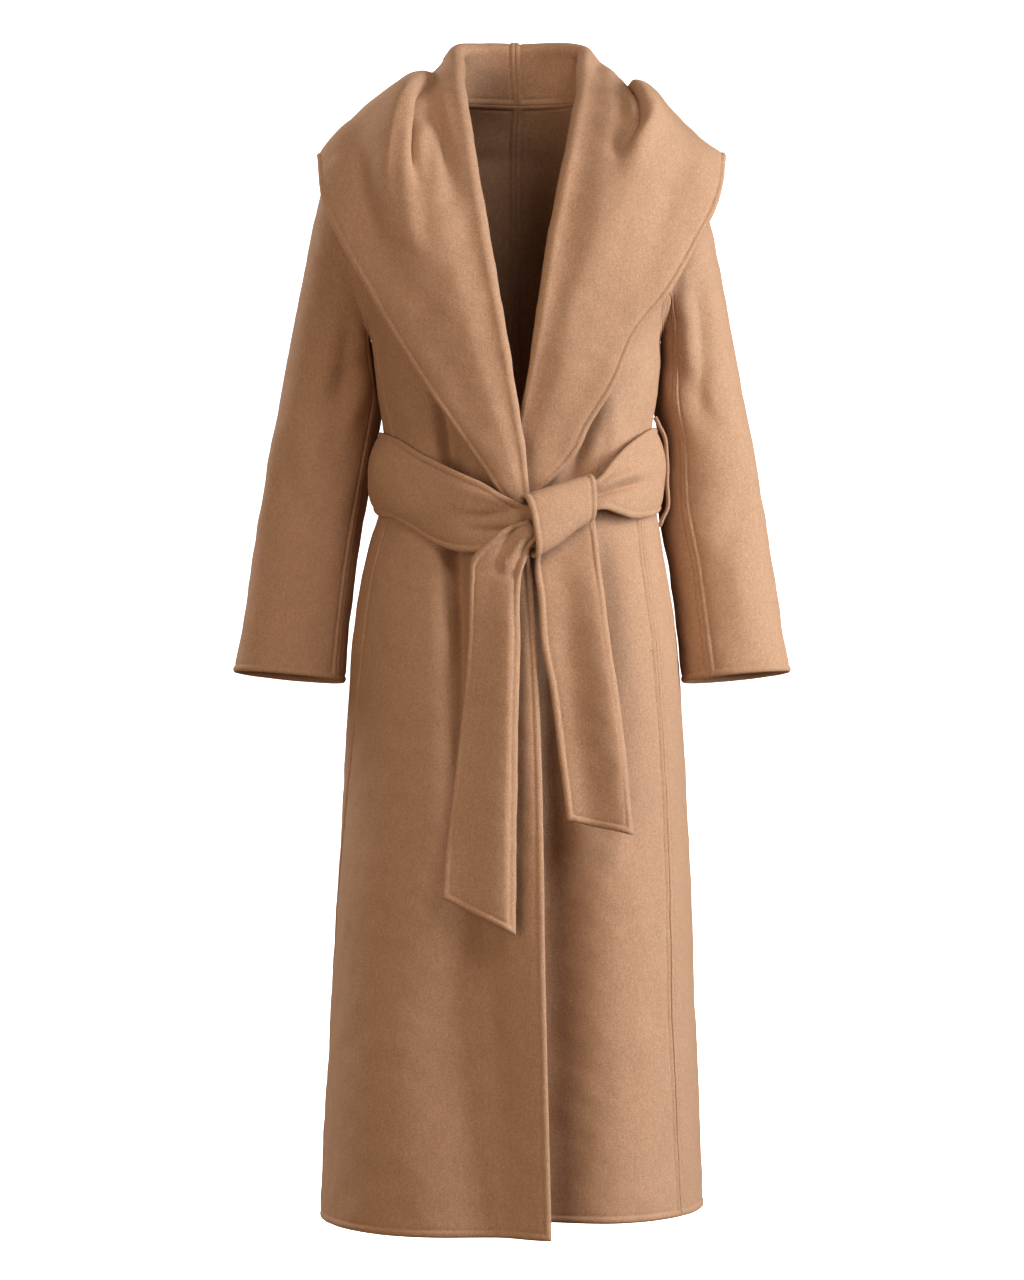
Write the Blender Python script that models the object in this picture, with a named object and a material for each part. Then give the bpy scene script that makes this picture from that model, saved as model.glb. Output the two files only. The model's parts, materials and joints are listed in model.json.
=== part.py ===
"""Long wool wrap coat, worn shape with no wearer: shawl collar, two-piece sleeves, tied belt.

Metres, +Z up. X runs to the wearer's left, the front faces -Y, and Z = 0 is the height where the
neck meets the shoulders, which is where a wearer holds the coat up.

Every piece of cloth is one closed wall of the cloth's real thickness. Its middle layer is read from
a smooth skin (body, sleeve, collar or belt) that short tables of sections describe, and the wall
is that layer moved half the thickness each way. Pieces that meet at a seam share the seam's
points and the direction that they are moved in, and then each stops short of the seam.
"""
import bpy
import bmesh
import numpy as np
from mathutils import kdtree

WALL = 0.0026               # double-faced wool
SEAM_GAP = 0.0003           # left between two pieces at a seam
HEM_Z = {"right": -1.179, "left": -1.168}
HEM_BACK_Z = -1.172
NECK_POINT = (90.0, 0.0)            # angle and height where collar, shoulder seam and neck meet
SHOULDER_TIP = (92.0, -0.050)
ARMHOLE_CENTRE_Z = -0.150
ARMHOLE_HALF_HEIGHT = 0.100
ARMHOLE_HALF_ANGLE = 28.0
SIDE_SEAM_TURN = 149.0              # where the side seam meets the armhole, as a sleeve turn
BACK_SEAM_TURN = 235.0              # sleeve's back seam
FORWARD_SEAM_TURN = {"right": 149.0, "left": 121.0}
LAP_START_X = -0.115                # the right front lifts off the left one from here
LAP_FULL_X = -0.062                 # to here, where the lap is whole
CAMEL = (0.50, 0.29, 0.15, 1.0)
TAUPE = (0.34, 0.20, 0.11, 1.0)
SIDES = {"right": -1, "left": 1}    # the wearer's
WELD = 2e-6                         # points nearer than this are one
SEAM_MATCH = 2e-5                   # points of two cloths nearer than this lie on one seam
LEAST_MITRE = 0.55                  # cosine that limits how far a mitre reaches out
SHARP_ANGLE = 50.0


# ------------------------------------------------------------------ tables

STEEPEST = 2.5                      # a monotone curve's slope, over that of its flatter span


def slopes_between(places, values, monotone):
    """Slope at each row: the mean of its two spans, or none where a monotone curve turns."""
    steps = np.diff(places)[:, None]
    spans = np.diff(values, axis=0) / steps
    slopes = np.empty_like(values)
    slopes[0], slopes[-1] = spans[0], spans[-1]
    before, after = steps[:-1], steps[1:]
    slopes[1:-1] = (spans[:-1] * after + spans[1:] * before) / (before + after)
    if monotone:
        turning = spans[:-1] * spans[1:] <= 0
        limit = STEEPEST * np.minimum(np.abs(spans[:-1]), np.abs(spans[1:]))
        inner = np.sign(slopes[1:-1]) * np.minimum(np.abs(slopes[1:-1]), limit)
        slopes[1:-1] = np.where(turning, 0, inner)
    return slopes


class Table:
    """Rows of named columns. Called with places along the first column, it reads between rows."""

    def __init__(self, columns, rows, monotone=False):
        self.names = columns.split()[1:]
        data = np.array(sorted(rows), dtype=float)
        self.places, self.values = data[:, 0], data[:, 1:]
        self.slopes = slopes_between(self.places, self.values, monotone)

    def __call__(self, at):
        at = np.clip(np.asarray(at, dtype=float), self.places[0], self.places[-1])
        row = np.clip(np.searchsorted(self.places, at, side="right") - 1, 0, len(self.places) - 2)
        step = (self.places[row + 1] - self.places[row])[..., None]
        part = (at[..., None] - self.places[row][..., None]) / step
        start, end = self.values[row], self.values[row + 1]
        leave, arrive = self.slopes[row] * step, self.slopes[row + 1] * step
        read = (start * (1 + 2 * part) * (1 - part) ** 2 + leave * part * (1 - part) ** 2
                + end * part ** 2 * (3 - 2 * part) + arrive * part ** 2 * (part - 1))
        return np.moveaxis(read, -1, 0)


def ease(value, start, full):
    part = np.clip((np.asarray(value) - start) / (full - start), 0, 1)
    return part * part * (3 - 2 * part)


def spread(start, end, count):
    """Places from start to end, both included, with this many spans."""
    return np.linspace(start, end, count + 1)


def unit(vectors):
    return vectors / np.maximum(np.linalg.norm(vectors, axis=-1, keepdims=True), 1e-12)


# ------------------------------------------------------------------ body skin

BODY = Table("z half_width centre front back squareness lap", (
    (-1.190, 0.2015, 0.0000, 0.191, 0.176, 2.15, 0.0060),
    (-1.070, 0.1960, 0.0015, 0.184, 0.170, 2.15, 0.0060),
    (-0.963, 0.1900, 0.0027, 0.177, 0.163, 2.15, 0.0060),
    (-0.806, 0.1840, 0.0030, 0.165, 0.153, 2.20, 0.0060),
    (-0.700, 0.1785, 0.0030, 0.156, 0.147, 2.20, 0.0062),
    (-0.636, 0.1750, 0.0030, 0.150, 0.142, 2.25, 0.0065),
    (-0.534, 0.1655, 0.0025, 0.133, 0.128, 2.30, 0.0075),
    (-0.470, 0.1530, 0.0040, 0.120, 0.113, 2.30, 0.0100),
    (-0.436, 0.1450, 0.0060, 0.115, 0.104, 2.30, 0.0100),
    (-0.397, 0.1370, 0.0060, 0.112, 0.099, 2.30, 0.0100),
    (-0.354, 0.1400, 0.0060, 0.114, 0.100, 2.30, 0.0085),
    (-0.317, 0.1468, 0.0058, 0.118, 0.102, 2.30, 0.0060),
    (-0.287, 0.1501, 0.0055, 0.120, 0.104, 2.30, 0.0040),
    (-0.250, 0.1528, 0.0038, 0.121, 0.106, 2.30, 0.0020),
    (-0.200, 0.1700, 0.0030, 0.112, 0.105, 2.25, 0.0),
    (-0.150, 0.1820, 0.0030, 0.100, 0.103, 2.20, 0.0),
    (-0.100, 0.1860, 0.0030, 0.084, 0.100, 2.15, 0.0),
    (-0.070, 0.1850, 0.0030, 0.073, 0.097, 2.10, 0.0),
    (-0.050, 0.1800, 0.0030, 0.065, 0.094, 2.05, 0.0),
    (-0.040, 0.1590, 0.0030, 0.059, 0.090, 2.00, 0.0),
    (-0.030, 0.1370, 0.0035, 0.055, 0.086, 2.00, 0.0),
    (-0.020, 0.1150, 0.0040, 0.051, 0.082, 2.00, 0.0),
    (-0.010, 0.0940, 0.0050, 0.047, 0.077, 2.00, 0.0),
    (0.000, 0.0780, 0.0060, 0.044, 0.071, 2.00, 0.0),
    (0.010, 0.0700, 0.0060, 0.041, 0.066, 2.00, 0.0),
), monotone=True)

# Soft folds of the body: a crest or, with a height below nought, a trough, running between two
# angles and two heights. Angles are from the front's middle, to the wearer's left.
BODY_FOLDS = (
    # angle_low angle_high z_low z_high half_angle height
    (-13.0, -33.0, -1.05, -0.50, 6.0, -0.0050),
    (-2.0, -20.0, -1.10, -0.56, 6.0, 0.0040),
    (-34.0, -42.0, -0.44, -0.26, 6.0, -0.0040),
    (21.0, 25.0, -1.17, -0.68, 7.0, -0.0045),
    (34.0, 38.0, -1.17, -0.62, 8.0, 0.0035),
    (30.0, 42.0, -0.44, -0.30, 6.0, -0.0040),
    (-62.0, -58.0, -1.17, -0.70, 9.0, 0.0030),
    (-150.0, -142.0, -1.17, -0.52, 9.0, 0.0060),
    (-163.0, -160.0, -1.17, -0.60, 7.0, -0.0045),
    (170.0, 168.0, -1.17, -0.50, 9.0, 0.0050),
    (136.0, 144.0, -1.17, -0.56, 9.0, -0.0055),
    (115.0, 122.0, -1.17, -0.60, 8.0, 0.0045),
    (150.0, 156.0, -0.44, -0.18, 7.0, -0.0040),
    (-150.0, -154.0, -0.44, -0.20, 7.0, -0.0040),
)


FOLD_FADE_UP = 0.35             # share of a fold's length over which it fades out at the top
FOLD_FADE_DOWN = 0.15           # metres over which it fades out below its lower end


def fold_height(angle, z):
    """How far the body's folds stand out of its skin."""
    height = np.zeros(np.broadcast(angle, z).shape)
    for angle_low, angle_high, z_low, z_high, half_angle, rise in BODY_FOLDS:
        part = np.clip((z - z_low) / (z_high - z_low), 0, 1)
        off = (angle - (angle_low + (angle_high - angle_low) * part) + 180) % 360 - 180
        fade = 1 - ease(z, z_high - FOLD_FADE_UP * (z_high - z_low), z_high)
        fade = fade * ease(z, z_low - FOLD_FADE_DOWN, z_low)
        height = height + rise * fade * np.exp(-(off / half_angle) ** 2)
    return height


def body(angle, z, lift=0.0, lapped=False):
    """Middle layer of the body at an angle in degrees and a height, moved out by lift."""
    angle, z = np.broadcast_arrays(np.asarray(angle, float), np.asarray(z, float))
    half_width, centre, front, back, squareness, lap = BODY(z)
    sine, cosine = np.sin(np.radians(angle)), np.cos(np.radians(angle))
    across = np.sign(sine) * np.abs(sine) ** (2 / squareness)
    along = np.sign(cosine) * np.abs(cosine) ** (2 / squareness)
    depth = np.where(cosine > 0, front, back)
    x, y = half_width * across, -depth * along
    outward = unit(np.stack([x / half_width ** 2, y / depth ** 2], axis=-1))
    height = lift + fold_height(angle, z)
    if lapped:
        height = height + lap * ease(x + centre, LAP_START_X, LAP_FULL_X)
    return np.stack([x + centre + outward[..., 0] * height, y + outward[..., 1] * height, z], axis=-1)


def front_angle(x, z):
    """Angle at which the front of the skin reaches x."""
    half_width, centre, _, _, squareness, _ = BODY(z)
    part = np.clip((x - centre) / half_width, -1, 1)
    return np.degrees(np.arcsin(np.sign(part) * np.abs(part) ** (squareness / 2)))


SIDE_SEAM = Table("z right left", (
    (-1.190, 90.0, 59.0), (-0.963, 84.0, 57.5), (-0.850, 80.0, 58.0), (-0.700, 73.5, 58.0),
    (-0.583, 67.0, 56.5), (-0.500, 67.0, 56.0), (-0.436, 67.0, 58.0), (-0.380, 67.0, 62.0),
    (-0.327, 70.0, 68.0), (-0.236, 77.6, 77.6),
))
FRONT_EDGE = {
    "right": Table("z x", ((-1.190, 0.0376), (-0.900, 0.0310), (-0.730, 0.0290), (-0.572, 0.0235),
                           (-0.466, 0.0160))),
    "left": Table("z x", ((-1.190, -0.0400), (-0.800, -0.0360), (-0.572, -0.0280), (-0.455, -0.0120))),
}
# The line where the collar is sewn on, from the back's middle (station 0) past the neck point
# (station 1.5) to where the front edge breaks. Angles are measured towards the piece's own side.
NECK_LINE = {
    "right": Table("station angle z", (
        (0.0, 180.0, 0.004), (0.75, 145.0, 0.0035), (1.5, 90.0, 0.0), (2, 50.0, -0.012),
        (3, 36.0, -0.038), (4, 28.0, -0.075), (5, 22.5, -0.122), (6, 19.5, -0.171),
        (7, 17.0, -0.230), (8, 13.5, -0.290), (9, 9.0, -0.345), (10, 4.8, -0.388),
        (11, -2.6, -0.466))),
    "left": Table("station angle z", (
        (0.0, 180.0, 0.004), (0.75, 145.0, 0.0035), (1.5, 90.0, 0.0), (2, 58.0, -0.012),
        (3, 42.0, -0.038), (4, 32.0, -0.070), (5, 27.0, -0.120), (6, 24.0, -0.168),
        (7, 20.5, -0.225), (8, 15.0, -0.290), (9, 9.5, -0.347), (10, 3.2, -0.395),
        (11, -4.2, -0.455))),
}
BREAK_STATION = 11
NECK_STATION = 1.5


# ------------------------------------------------------------------ meshes

def coons(bottom, top, inner, outer, across=None):
    """Grid of (angle, z) between four edges; rows run from bottom to top, columns inner to outer."""
    across = (np.linspace(0, 1, len(bottom)) if across is None else across)[None, :, None]
    up = np.linspace(0, 1, len(inner))[:, None, None]
    ruled_up = bottom[None] * (1 - up) + top[None] * up
    ruled_across = inner[:, None] * (1 - across) + outer[:, None] * across
    corners = ((bottom[0] * (1 - across) + bottom[-1] * across) * (1 - up)
               + (top[0] * (1 - across) + top[-1] * across) * up)
    return ruled_up + ruled_across - corners


class Cloth:
    """A middle layer: grids of points, welded where they share points, faced outward."""

    def __init__(self, name, grids, flip=False, closed=False):
        self.name, self.points, self.quads = name, [], []
        known = {}
        for grid in grids:
            ids = np.empty(grid.shape[:2], dtype=int)
            for place in np.ndindex(*grid.shape[:2]):
                key = tuple(np.round(grid[place] / WELD).astype(int))
                if key not in known:
                    known[key] = len(self.points)
                    self.points.append(grid[place])
                ids[place] = known[key]
            if closed:
                ids[:, -1] = ids[:, 0]
            for i in range(ids.shape[0] - 1):
                for j in range(ids.shape[1] - 1):
                    quad = [ids[i, j], ids[i, j + 1], ids[i + 1, j + 1], ids[i + 1, j]]
                    quad = [v for k, v in enumerate(quad) if v != quad[k - 1]]
                    if len(quad) > 2:
                        self.quads.append(quad[::-1] if flip else quad)
        self.points = np.array(self.points)
        used = sorted({v for quad in self.quads for v in quad})
        renumber = {v: k for k, v in enumerate(used)}
        self.points = self.points[used]
        self.quads = [[renumber[v] for v in quad] for quad in self.quads]
        self.measure()

    def measure(self):
        """Normal of each point, and the open edges with the direction into the cloth."""
        self.normals = np.zeros_like(self.points)
        edges = {}
        for quad in self.quads:
            corners = self.points[quad]
            if len(quad) == 4:
                normal = np.cross(corners[2] - corners[0], corners[3] - corners[1])
            else:
                normal = np.cross(corners[1] - corners[0], corners[2] - corners[0])
            self.normals[quad] += normal
            for k, v in enumerate(quad):
                edges[(quad[k - 1], v)] = (normal, corners.mean(axis=0))
        self.normals = unit(self.normals)
        self.rim = [edge for edge in edges if edge[::-1] not in edges]
        self.inward = {}
        for a, b in self.rim:
            normal, centre = edges[(a, b)]
            into = unit(np.cross(normal, self.points[b] - self.points[a]))
            into = into * np.sign(np.dot(into, centre - self.points[a]))
            self.inward.setdefault(a, []).append(into)
            self.inward.setdefault(b, []).append(into)


def wall_object(cloth, others, colour, thickness=WALL):
    """Closed wall round a cloth's middle layer, mitred against the cloths that share its seams.

    Each rim quad is cut along the diagonal that its lower end gives, so that the rims of two pieces
    that face each other across a seam are cut alike and can't cross.
    """
    points, offset = cloth.points.copy(), cloth.normals * thickness / 2
    for v, directions in cloth.inward.items():
        shared = [cloth.normals[v]]
        for other, tree in others:
            if other is cloth:
                continue
            near = tree.find_range(points[v].tolist(), SEAM_MATCH)
            shared += [other.normals[index] for _, index, _ in near]
        common = unit(np.sum(shared, axis=0))
        offset[v] = common * thickness / 2 / max(LEAST_MITRE, float(np.dot(common, cloth.normals[v])))
        bend = 1 + float(np.dot(directions[0], directions[-1]))
        points[v] = points[v] + np.mean(directions, axis=0) * SEAM_GAP / max(LEAST_MITRE, bend)
    count = len(points)
    vertices = np.concatenate([points + offset, points - offset])
    faces = cloth.quads + [[v + count for v in quad[::-1]] for quad in cloth.quads]
    for a, b in cloth.rim:
        if tuple(cloth.points[a]) > tuple(cloth.points[b]):
            faces += [[b, a, a + count], [b, a + count, b + count]]
        else:
            faces += [[b, a, b + count], [a, a + count, b + count]]
    return mesh_object(cloth.name, vertices, faces, colour)


def mesh_object(name, vertices, faces, colour):
    mesh = bpy.data.meshes.new(name)
    mesh.from_pydata([tuple(map(float, v)) for v in vertices], [], faces)
    shaped = bmesh.new()
    shaped.from_mesh(mesh)
    bmesh.ops.recalc_face_normals(shaped, faces=shaped.faces)
    shaped.to_mesh(mesh)
    shaped.free()
    mesh.shade_smooth()
    mesh.set_sharp_from_angle(angle=np.radians(SHARP_ANGLE))
    mesh.materials.append(wool_material(name, colour))
    thing = bpy.data.objects.new(name, mesh)
    bpy.data.collections["wool_wrap_coat"].objects.link(thing)
    return thing


def wool_material(name, colour):
    material = bpy.data.materials.new(name + "_wool")
    material.use_nodes = True
    shader = material.node_tree.nodes["Principled BSDF"]
    shader.inputs["Base Color"].default_value = colour
    shader.inputs["Roughness"].default_value = 0.9
    shader.inputs["Metallic"].default_value = 0.0
    return material


# ------------------------------------------------------------------ body panels

def armhole(turn):
    """Angle and height on the armhole: turn 0 is the shoulder tip, 90 the front, 180 the bottom."""
    turn = np.radians(np.asarray(turn, float))
    return np.stack([SHOULDER_TIP[0] - ARMHOLE_HALF_ANGLE * np.sin(turn),
                     ARMHOLE_CENTRE_Z + ARMHOLE_HALF_HEIGHT * np.cos(turn)], axis=-1)


FRONT_TURNS = np.array([149, 135, 121, 106, 91, 76, 61, 46, 31, 16, 0.0])
UNDER_TURNS = np.array([149, 164, 179, 194, 210.0])
BACK_TURNS = np.array([210, 222, 235, 250, 268, 286, 304, 322, 341, 360.0])
LOW_HEIGHTS = np.array([-1.10, -1.02, -0.94, -0.86, -0.78, -0.70, -0.63, -0.57, -0.52, -0.49, -0.466,
                        -0.44, -0.415, -0.388, -0.36, -0.33, -0.30, -0.27])
BACK_NECK_STATIONS = np.array([0, 0.3, 0.6, 0.9, 1.2, 1.5])
FRONT_COLUMNS = np.array([0, 0.09, 0.18, 0.28, 0.39, 0.52, 0.68, 0.84, 1])
ROW_SPACE = 0.0125              # least height between the break and the rows beside it
ARMHOLE_FOOT_Z = -0.236         # where the side seams meet the armholes


def line_between(start, end, steps):
    steps = np.asarray(steps)[:, None]
    return np.asarray(start) * (1 - steps) + np.asarray(end) * steps


def shoulder_seam():
    return line_between(NECK_POINT, SHOULDER_TIP, FRONT_COLUMNS)


def side_seam(side, z):
    right, left = SIDE_SEAM(z)
    return np.stack([left if side == "left" else right, z], axis=-1)


def side_line(side):
    heights = np.concatenate([[HEM_Z[side]], LOW_HEIGHTS])
    return np.concatenate([side_seam(side, heights), armhole(SIDE_SEAM_TURN)[None]])


def gorge_stations(side):
    """Stations of the neck line for the front's rows, from the break up to the neck point."""
    table = NECK_LINE[side]
    fine = spread(BREAK_STATION, NECK_STATION, 400)
    heights = table(fine)[1]
    rows = [BREAK_STATION]
    for z in np.append(LOW_HEIGHTS, ARMHOLE_FOOT_Z):
        if z > heights[0] + ROW_SPACE:
            rows.append(float(np.interp(z, heights, fine)))
    upper = spread(rows[-1], NECK_STATION, len(FRONT_TURNS) - 1)
    return np.concatenate([rows, upper[1:]])


def inner_line(side):
    """Front edge from the hem to the break, then the line where the collar is sewn on."""
    sign = SIDES[side]
    break_z = NECK_LINE[side](BREAK_STATION)[1]
    heights = np.concatenate([[HEM_Z[side]], LOW_HEIGHTS[LOW_HEIGHTS < break_z - ROW_SPACE]])
    edge = np.stack([sign * front_angle(FRONT_EDGE[side](heights)[0], heights), heights], axis=-1)
    gorge = np.stack(NECK_LINE[side](gorge_stations(side)), axis=-1)
    return np.concatenate([edge, gorge])


def front_grid(side):
    inner = inner_line(side)
    outer = np.concatenate([side_line(side), armhole(FRONT_TURNS)[1:]])
    top = shoulder_seam()
    bottom = line_between(inner[0], outer[0], FRONT_COLUMNS)
    if len(inner) != len(outer):
        raise ValueError(f"{side} front: {len(inner)} rows inside, {len(outer)} outside")
    return coons(bottom, top, inner, outer, FRONT_COLUMNS)


def front(side):
    grid = front_grid(side)
    points = body(SIDES[side] * grid[..., 0], grid[..., 1], lapped=side == "right")
    return Cloth("front_" + side, [points], flip=side == "right")


def back(side):
    outer = side_line(side)
    under = armhole(UNDER_TURNS)
    across = np.linspace(0, 1, len(BACK_NECK_STATIONS) + len(FRONT_COLUMNS) - 1)
    level = line_between(under[-1], (180.0, under[-1][1]), across)
    neck = np.stack(NECK_LINE[side](BACK_NECK_STATIONS), axis=-1)
    top = np.concatenate([shoulder_seam()[::-1], neck[::-1][1:]])
    middle_z = np.concatenate([[HEM_BACK_Z], LOW_HEIGHTS, [under[-1][1]]])
    middle = np.stack([np.full(len(middle_z), 180.0), middle_z], axis=-1)
    join = np.concatenate([under, level[1:]])
    hem = line_between(outer[0], middle[0], np.linspace(0, 1, len(join)))
    lower = coons(hem, join, outer, middle)
    spine_z = spread(under[-1][1], neck[0][1], len(BACK_TURNS) - 1)
    spine = np.stack([np.full(len(spine_z), 180.0), spine_z], axis=-1)
    upper = coons(level, top, armhole(BACK_TURNS), spine)
    grids = [body(SIDES[side] * grid[..., 0], grid[..., 1]) for grid in (lower, upper)]
    return Cloth("back_" + side, grids, flip=side == "right")


# ------------------------------------------------------------------ sleeves

# Sections of the sleeves past the armhole. X is a distance from the coat's middle.
SLEEVE = (
    # right_inner_x left_inner_x inner_z outer_x outer_z centre_y half_depth
    (0.1524, 0.1598, -0.2538, 0.1900, -0.0600, 0.008, 0.053),
    (0.1504, 0.1588, -0.2620, 0.2000, -0.0900, 0.018, 0.057),
    (0.1482, 0.1580, -0.2740, 0.2135, -0.1450, 0.026, 0.060),
    (0.1448, 0.1562, -0.2920, 0.2275, -0.2120, 0.036, 0.060),
    (0.1402, 0.1530, -0.3220, 0.2415, -0.2850, 0.043, 0.057),
    (0.1466, 0.1580, -0.3650, 0.2555, -0.3600, 0.044, 0.054),
    (0.1575, 0.1572, -0.4300, 0.2680, -0.4350, 0.039, 0.051),
    (0.1675, 0.1685, -0.4950, 0.2785, -0.5050, 0.026, 0.049),
    (0.1745, 0.1760, -0.5600, 0.2875, -0.5700, 0.014, 0.047),
    (0.1785, 0.1825, -0.6170, 0.2940, -0.6060, 0.004, 0.045),
)
CUFF_TILT = 0.004               # the cuff's front edge stands higher by twice this
SLEEVE_STATIONS = np.array([0, 0.7, 1.5, 2.4, 3.3, 4.2, 5, 5.6, 6.2, 6.8, 7.4, 8, 8.6, 9.3, 10])
SLEEVE_FOLDS = (
    # turn_high turn_low station_high station_low half_turn height
    (150.0, 100.0, 3.6, 6.6, 13.0, 0.0040),
    (128.0, 70.0, 3.8, 6.2, 12.0, -0.0035),
    (205.0, 250.0, 3.6, 6.8, 13.0, 0.0040),
    (20.0, 35.0, 5.0, 8.6, 16.0, 0.0025),
)


def sleeve_points(side, turns, stations):
    """Middle layer of a sleeve: rows are stations from the armhole to the cuff."""
    sign = SIDES[side]
    turns = np.asarray(turns, float)
    hole = armhole(turns)
    rings = [body(sign * hole[:, 0], hole[:, 1])]
    swing = np.radians(turns)
    for row, (right_x, left_x, inner_z, outer_x, outer_z, centre_y, half_depth) in enumerate(SLEEVE):
        inner_x = left_x if side == "left" else right_x
        middle_x, middle_z = (inner_x + outer_x) / 2, (inner_z + outer_z) / 2
        reach_x, reach_z = (outer_x - inner_x) / 2, (outer_z - inner_z) / 2
        tilt = CUFF_TILT * np.sin(swing) * (row / (len(SLEEVE) - 1)) ** 2
        x = middle_x + reach_x * np.cos(swing)
        y = centre_y - half_depth * np.sin(swing)
        z = middle_z + reach_z * np.cos(swing) + tilt
        rings.append(np.stack([sign * x, y, z], axis=-1))
    rings = np.array(rings)
    rings = np.column_stack([np.arange(len(rings)), rings.reshape(len(rings), -1)])
    points = np.moveaxis(Table("ring", rings.tolist())(stations), 0, -1)
    points = points.reshape(len(stations), len(turns), 3)
    outward = np.stack([sign * np.cos(swing), -np.sin(swing), np.zeros(len(swing))], axis=-1)[None]
    height = np.zeros(points.shape[:2])
    for turn_high, turn_low, high, low, half_turn, rise in SLEEVE_FOLDS:
        part = np.clip((np.asarray(stations) - high) / (low - high), 0, 1)[:, None]
        off = (turns[None] - (turn_high + (turn_low - turn_high) * part) + 180) % 360 - 180
        fade = np.sin(np.pi * part) ** 2
        height += rise * fade * np.exp(-(off / half_turn) ** 2)
    return points + outward * height[..., None]


def sleeve(side):
    forward = FORWARD_SEAM_TURN[side]
    around = np.concatenate([FRONT_TURNS[::-1], UNDER_TURNS[1:], BACK_TURNS[1:]])
    upper = [turn - 360 for turn in around if BACK_SEAM_TURN <= turn < 360]
    upper += [turn for turn in around if turn <= forward]
    under = [turn for turn in around if forward <= turn <= BACK_SEAM_TURN]
    pieces = []
    for part, turns in (("upper", upper), ("under", under)):
        points = sleeve_points(side, turns, SLEEVE_STATIONS)
        pieces.append(Cloth(f"sleeve_{side}_{part}", [points], flip=side == "right"))
    return pieces


# ------------------------------------------------------------------ collar

# Sections across the collar: where it rolls over, two places on the fall, and its outer edge.
# The roll's radius is half the space that the stand and the fall keep there.
COLLAR = {
    "right": Table("station roll_x roll_y roll_z a_x a_y a_z b_x b_y b_z edge_x edge_y edge_z radius", (
        (0, 0.003, 0.062, 0.0676, 0.003, 0.098, 0.012, 0.003, 0.114, -0.085, 0.003, 0.122, -0.148, .008),
        (.5, -.028, 0.056, 0.0675, -.048, 0.092, 0.016, -.076, 0.108, -0.080, -.094, 0.114, -0.138, .008),
        (1, -.0535, 0.036, 0.0620, -.084, 0.058, 0.027, -.150, 0.080, -0.050, -.176, 0.086, -0.104, .008),
        (1.5, -.0530, 0.010, 0.0400, -.104, 0.018, 0.024, -.176, 0.048, -0.030, -.200, 0.052, -0.082, .008),
        (2, -.0507, -.015, 0.0138, -.110, -.022, 0.010, -.184, 0.008, -0.032, -.2050, 0.014, -0.062, .008),
        (3, -.0445, -.050, -0.0270, -.104, -.060, -0.026, -.178, -.040, -0.060, -.2020, -.024, -0.080, .008),
        (4, -.0374, -.078, -0.0730, -.094, -.090, -0.073, -.165, -.070, -0.103, -.1925, -.055, -0.120, .008),
        (5, -.0295, -.102, -0.1220, -.084, -.112, -0.120, -.148, -.092, -0.147, -.1745, -.077, -0.158, .008),
        (6, -.0216, -.118, -0.1706, -.070, -.126, -0.170, -.124, -.110, -0.197, -.1455, -.096, -0.2075, .0075),
        (7, -.0110, -.130, -0.2300, -.054, -.136, -0.228, -.100, -.120, -0.247, -.1180, -.106, -0.254, .0065),
        (8, -.0010, -.134, -0.2900, -.037, -.139, -0.288, -.072, -.127, -0.301, -.0880, -.117, -0.305, .0055),
        (9, 0.0075, -.135, -0.3450, -.020, -.141, -0.341, -.048, -.134, -0.346, -.0610, -.127, -0.347, .0045),
        (10, 0.0140, -.134, -0.3880, -.005, -.139, -0.386, -.024, -.136, -0.391, -.0320, -.131, -0.392, .0038),
        (11, 0.0206, -.133, -0.4700, 0.0185, -.1360, -0.469, 0.0165, -.1362, -0.466, 0.0150, -.1360, -0.4635,
         .0022),
    )),
    "left": Table("station roll_x roll_y roll_z a_x a_y a_z b_x b_y b_z edge_x edge_y edge_z radius", (
        (0, 0.003, 0.062, 0.0676, 0.003, 0.098, 0.012, 0.003, 0.114, -0.085, 0.003, 0.122, -0.148, .008),
        (.5, 0.036, 0.056, 0.0675, 0.054, 0.092, 0.016, 0.084, 0.108, -0.080, 0.100, 0.114, -0.138, .008),
        (1, 0.0705, 0.036, 0.0620, 0.098, 0.058, 0.026, 0.160, 0.080, -0.052, 0.188, 0.086, -0.104, .008),
        (1.5, 0.0710, 0.010, 0.0400, 0.118, 0.018, 0.023, 0.192, 0.048, -0.036, 0.216, 0.052, -0.084, .008),
        (2, 0.0695, -.015, 0.0138, 0.126, -.022, 0.008, 0.202, 0.008, -0.042, 0.2240, 0.012, -0.061, .008),
        (3, 0.0625, -.050, -0.0280, 0.120, -.060, -0.026, 0.196, -.040, -0.062, 0.2225, -.022, -0.082, .008),
        (4, 0.0545, -.078, -0.0700, 0.110, -.090, -0.071, 0.182, -.070, -0.103, 0.2105, -.055, -0.120, .008),
        (5, 0.0450, -.101, -0.1200, 0.099, -.112, -0.118, 0.165, -.090, -0.144, 0.1930, -.074, -0.153, .008),
        (6, 0.0360, -.118, -0.1680, 0.087, -.126, -0.166, 0.139, -.109, -0.197, 0.1620, -.096, -0.2075, .0075),
        (7, 0.0280, -.127, -0.2250, 0.067, -.133, -0.224, 0.108, -.119, -0.247, 0.1250, -.107, -0.254, .0065),
        (8, 0.0180, -.126, -0.2900, 0.053, -.133, -0.290, 0.088, -.121, -0.303, 0.1045, -.113, -0.305, .0050),
        (9, 0.0080, -.1195, -0.3470, 0.036, -.1255, -0.345, 0.066, -.120, -0.347, 0.0800, -.114, -0.347, .0028),
        (10, -.0020, -.1155, -0.3950, 0.022, -.1200, -0.393, 0.047, -.118, -0.391, 0.0580, -.115, -0.390, .0022),
        (11, -.0150, -.1195, -0.4550, -.0125, -.1220, -0.4545, -.0100, -.1222, -0.4530, -.0080, -.1220,
         -0.4520, .0020),
    )),
}
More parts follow.
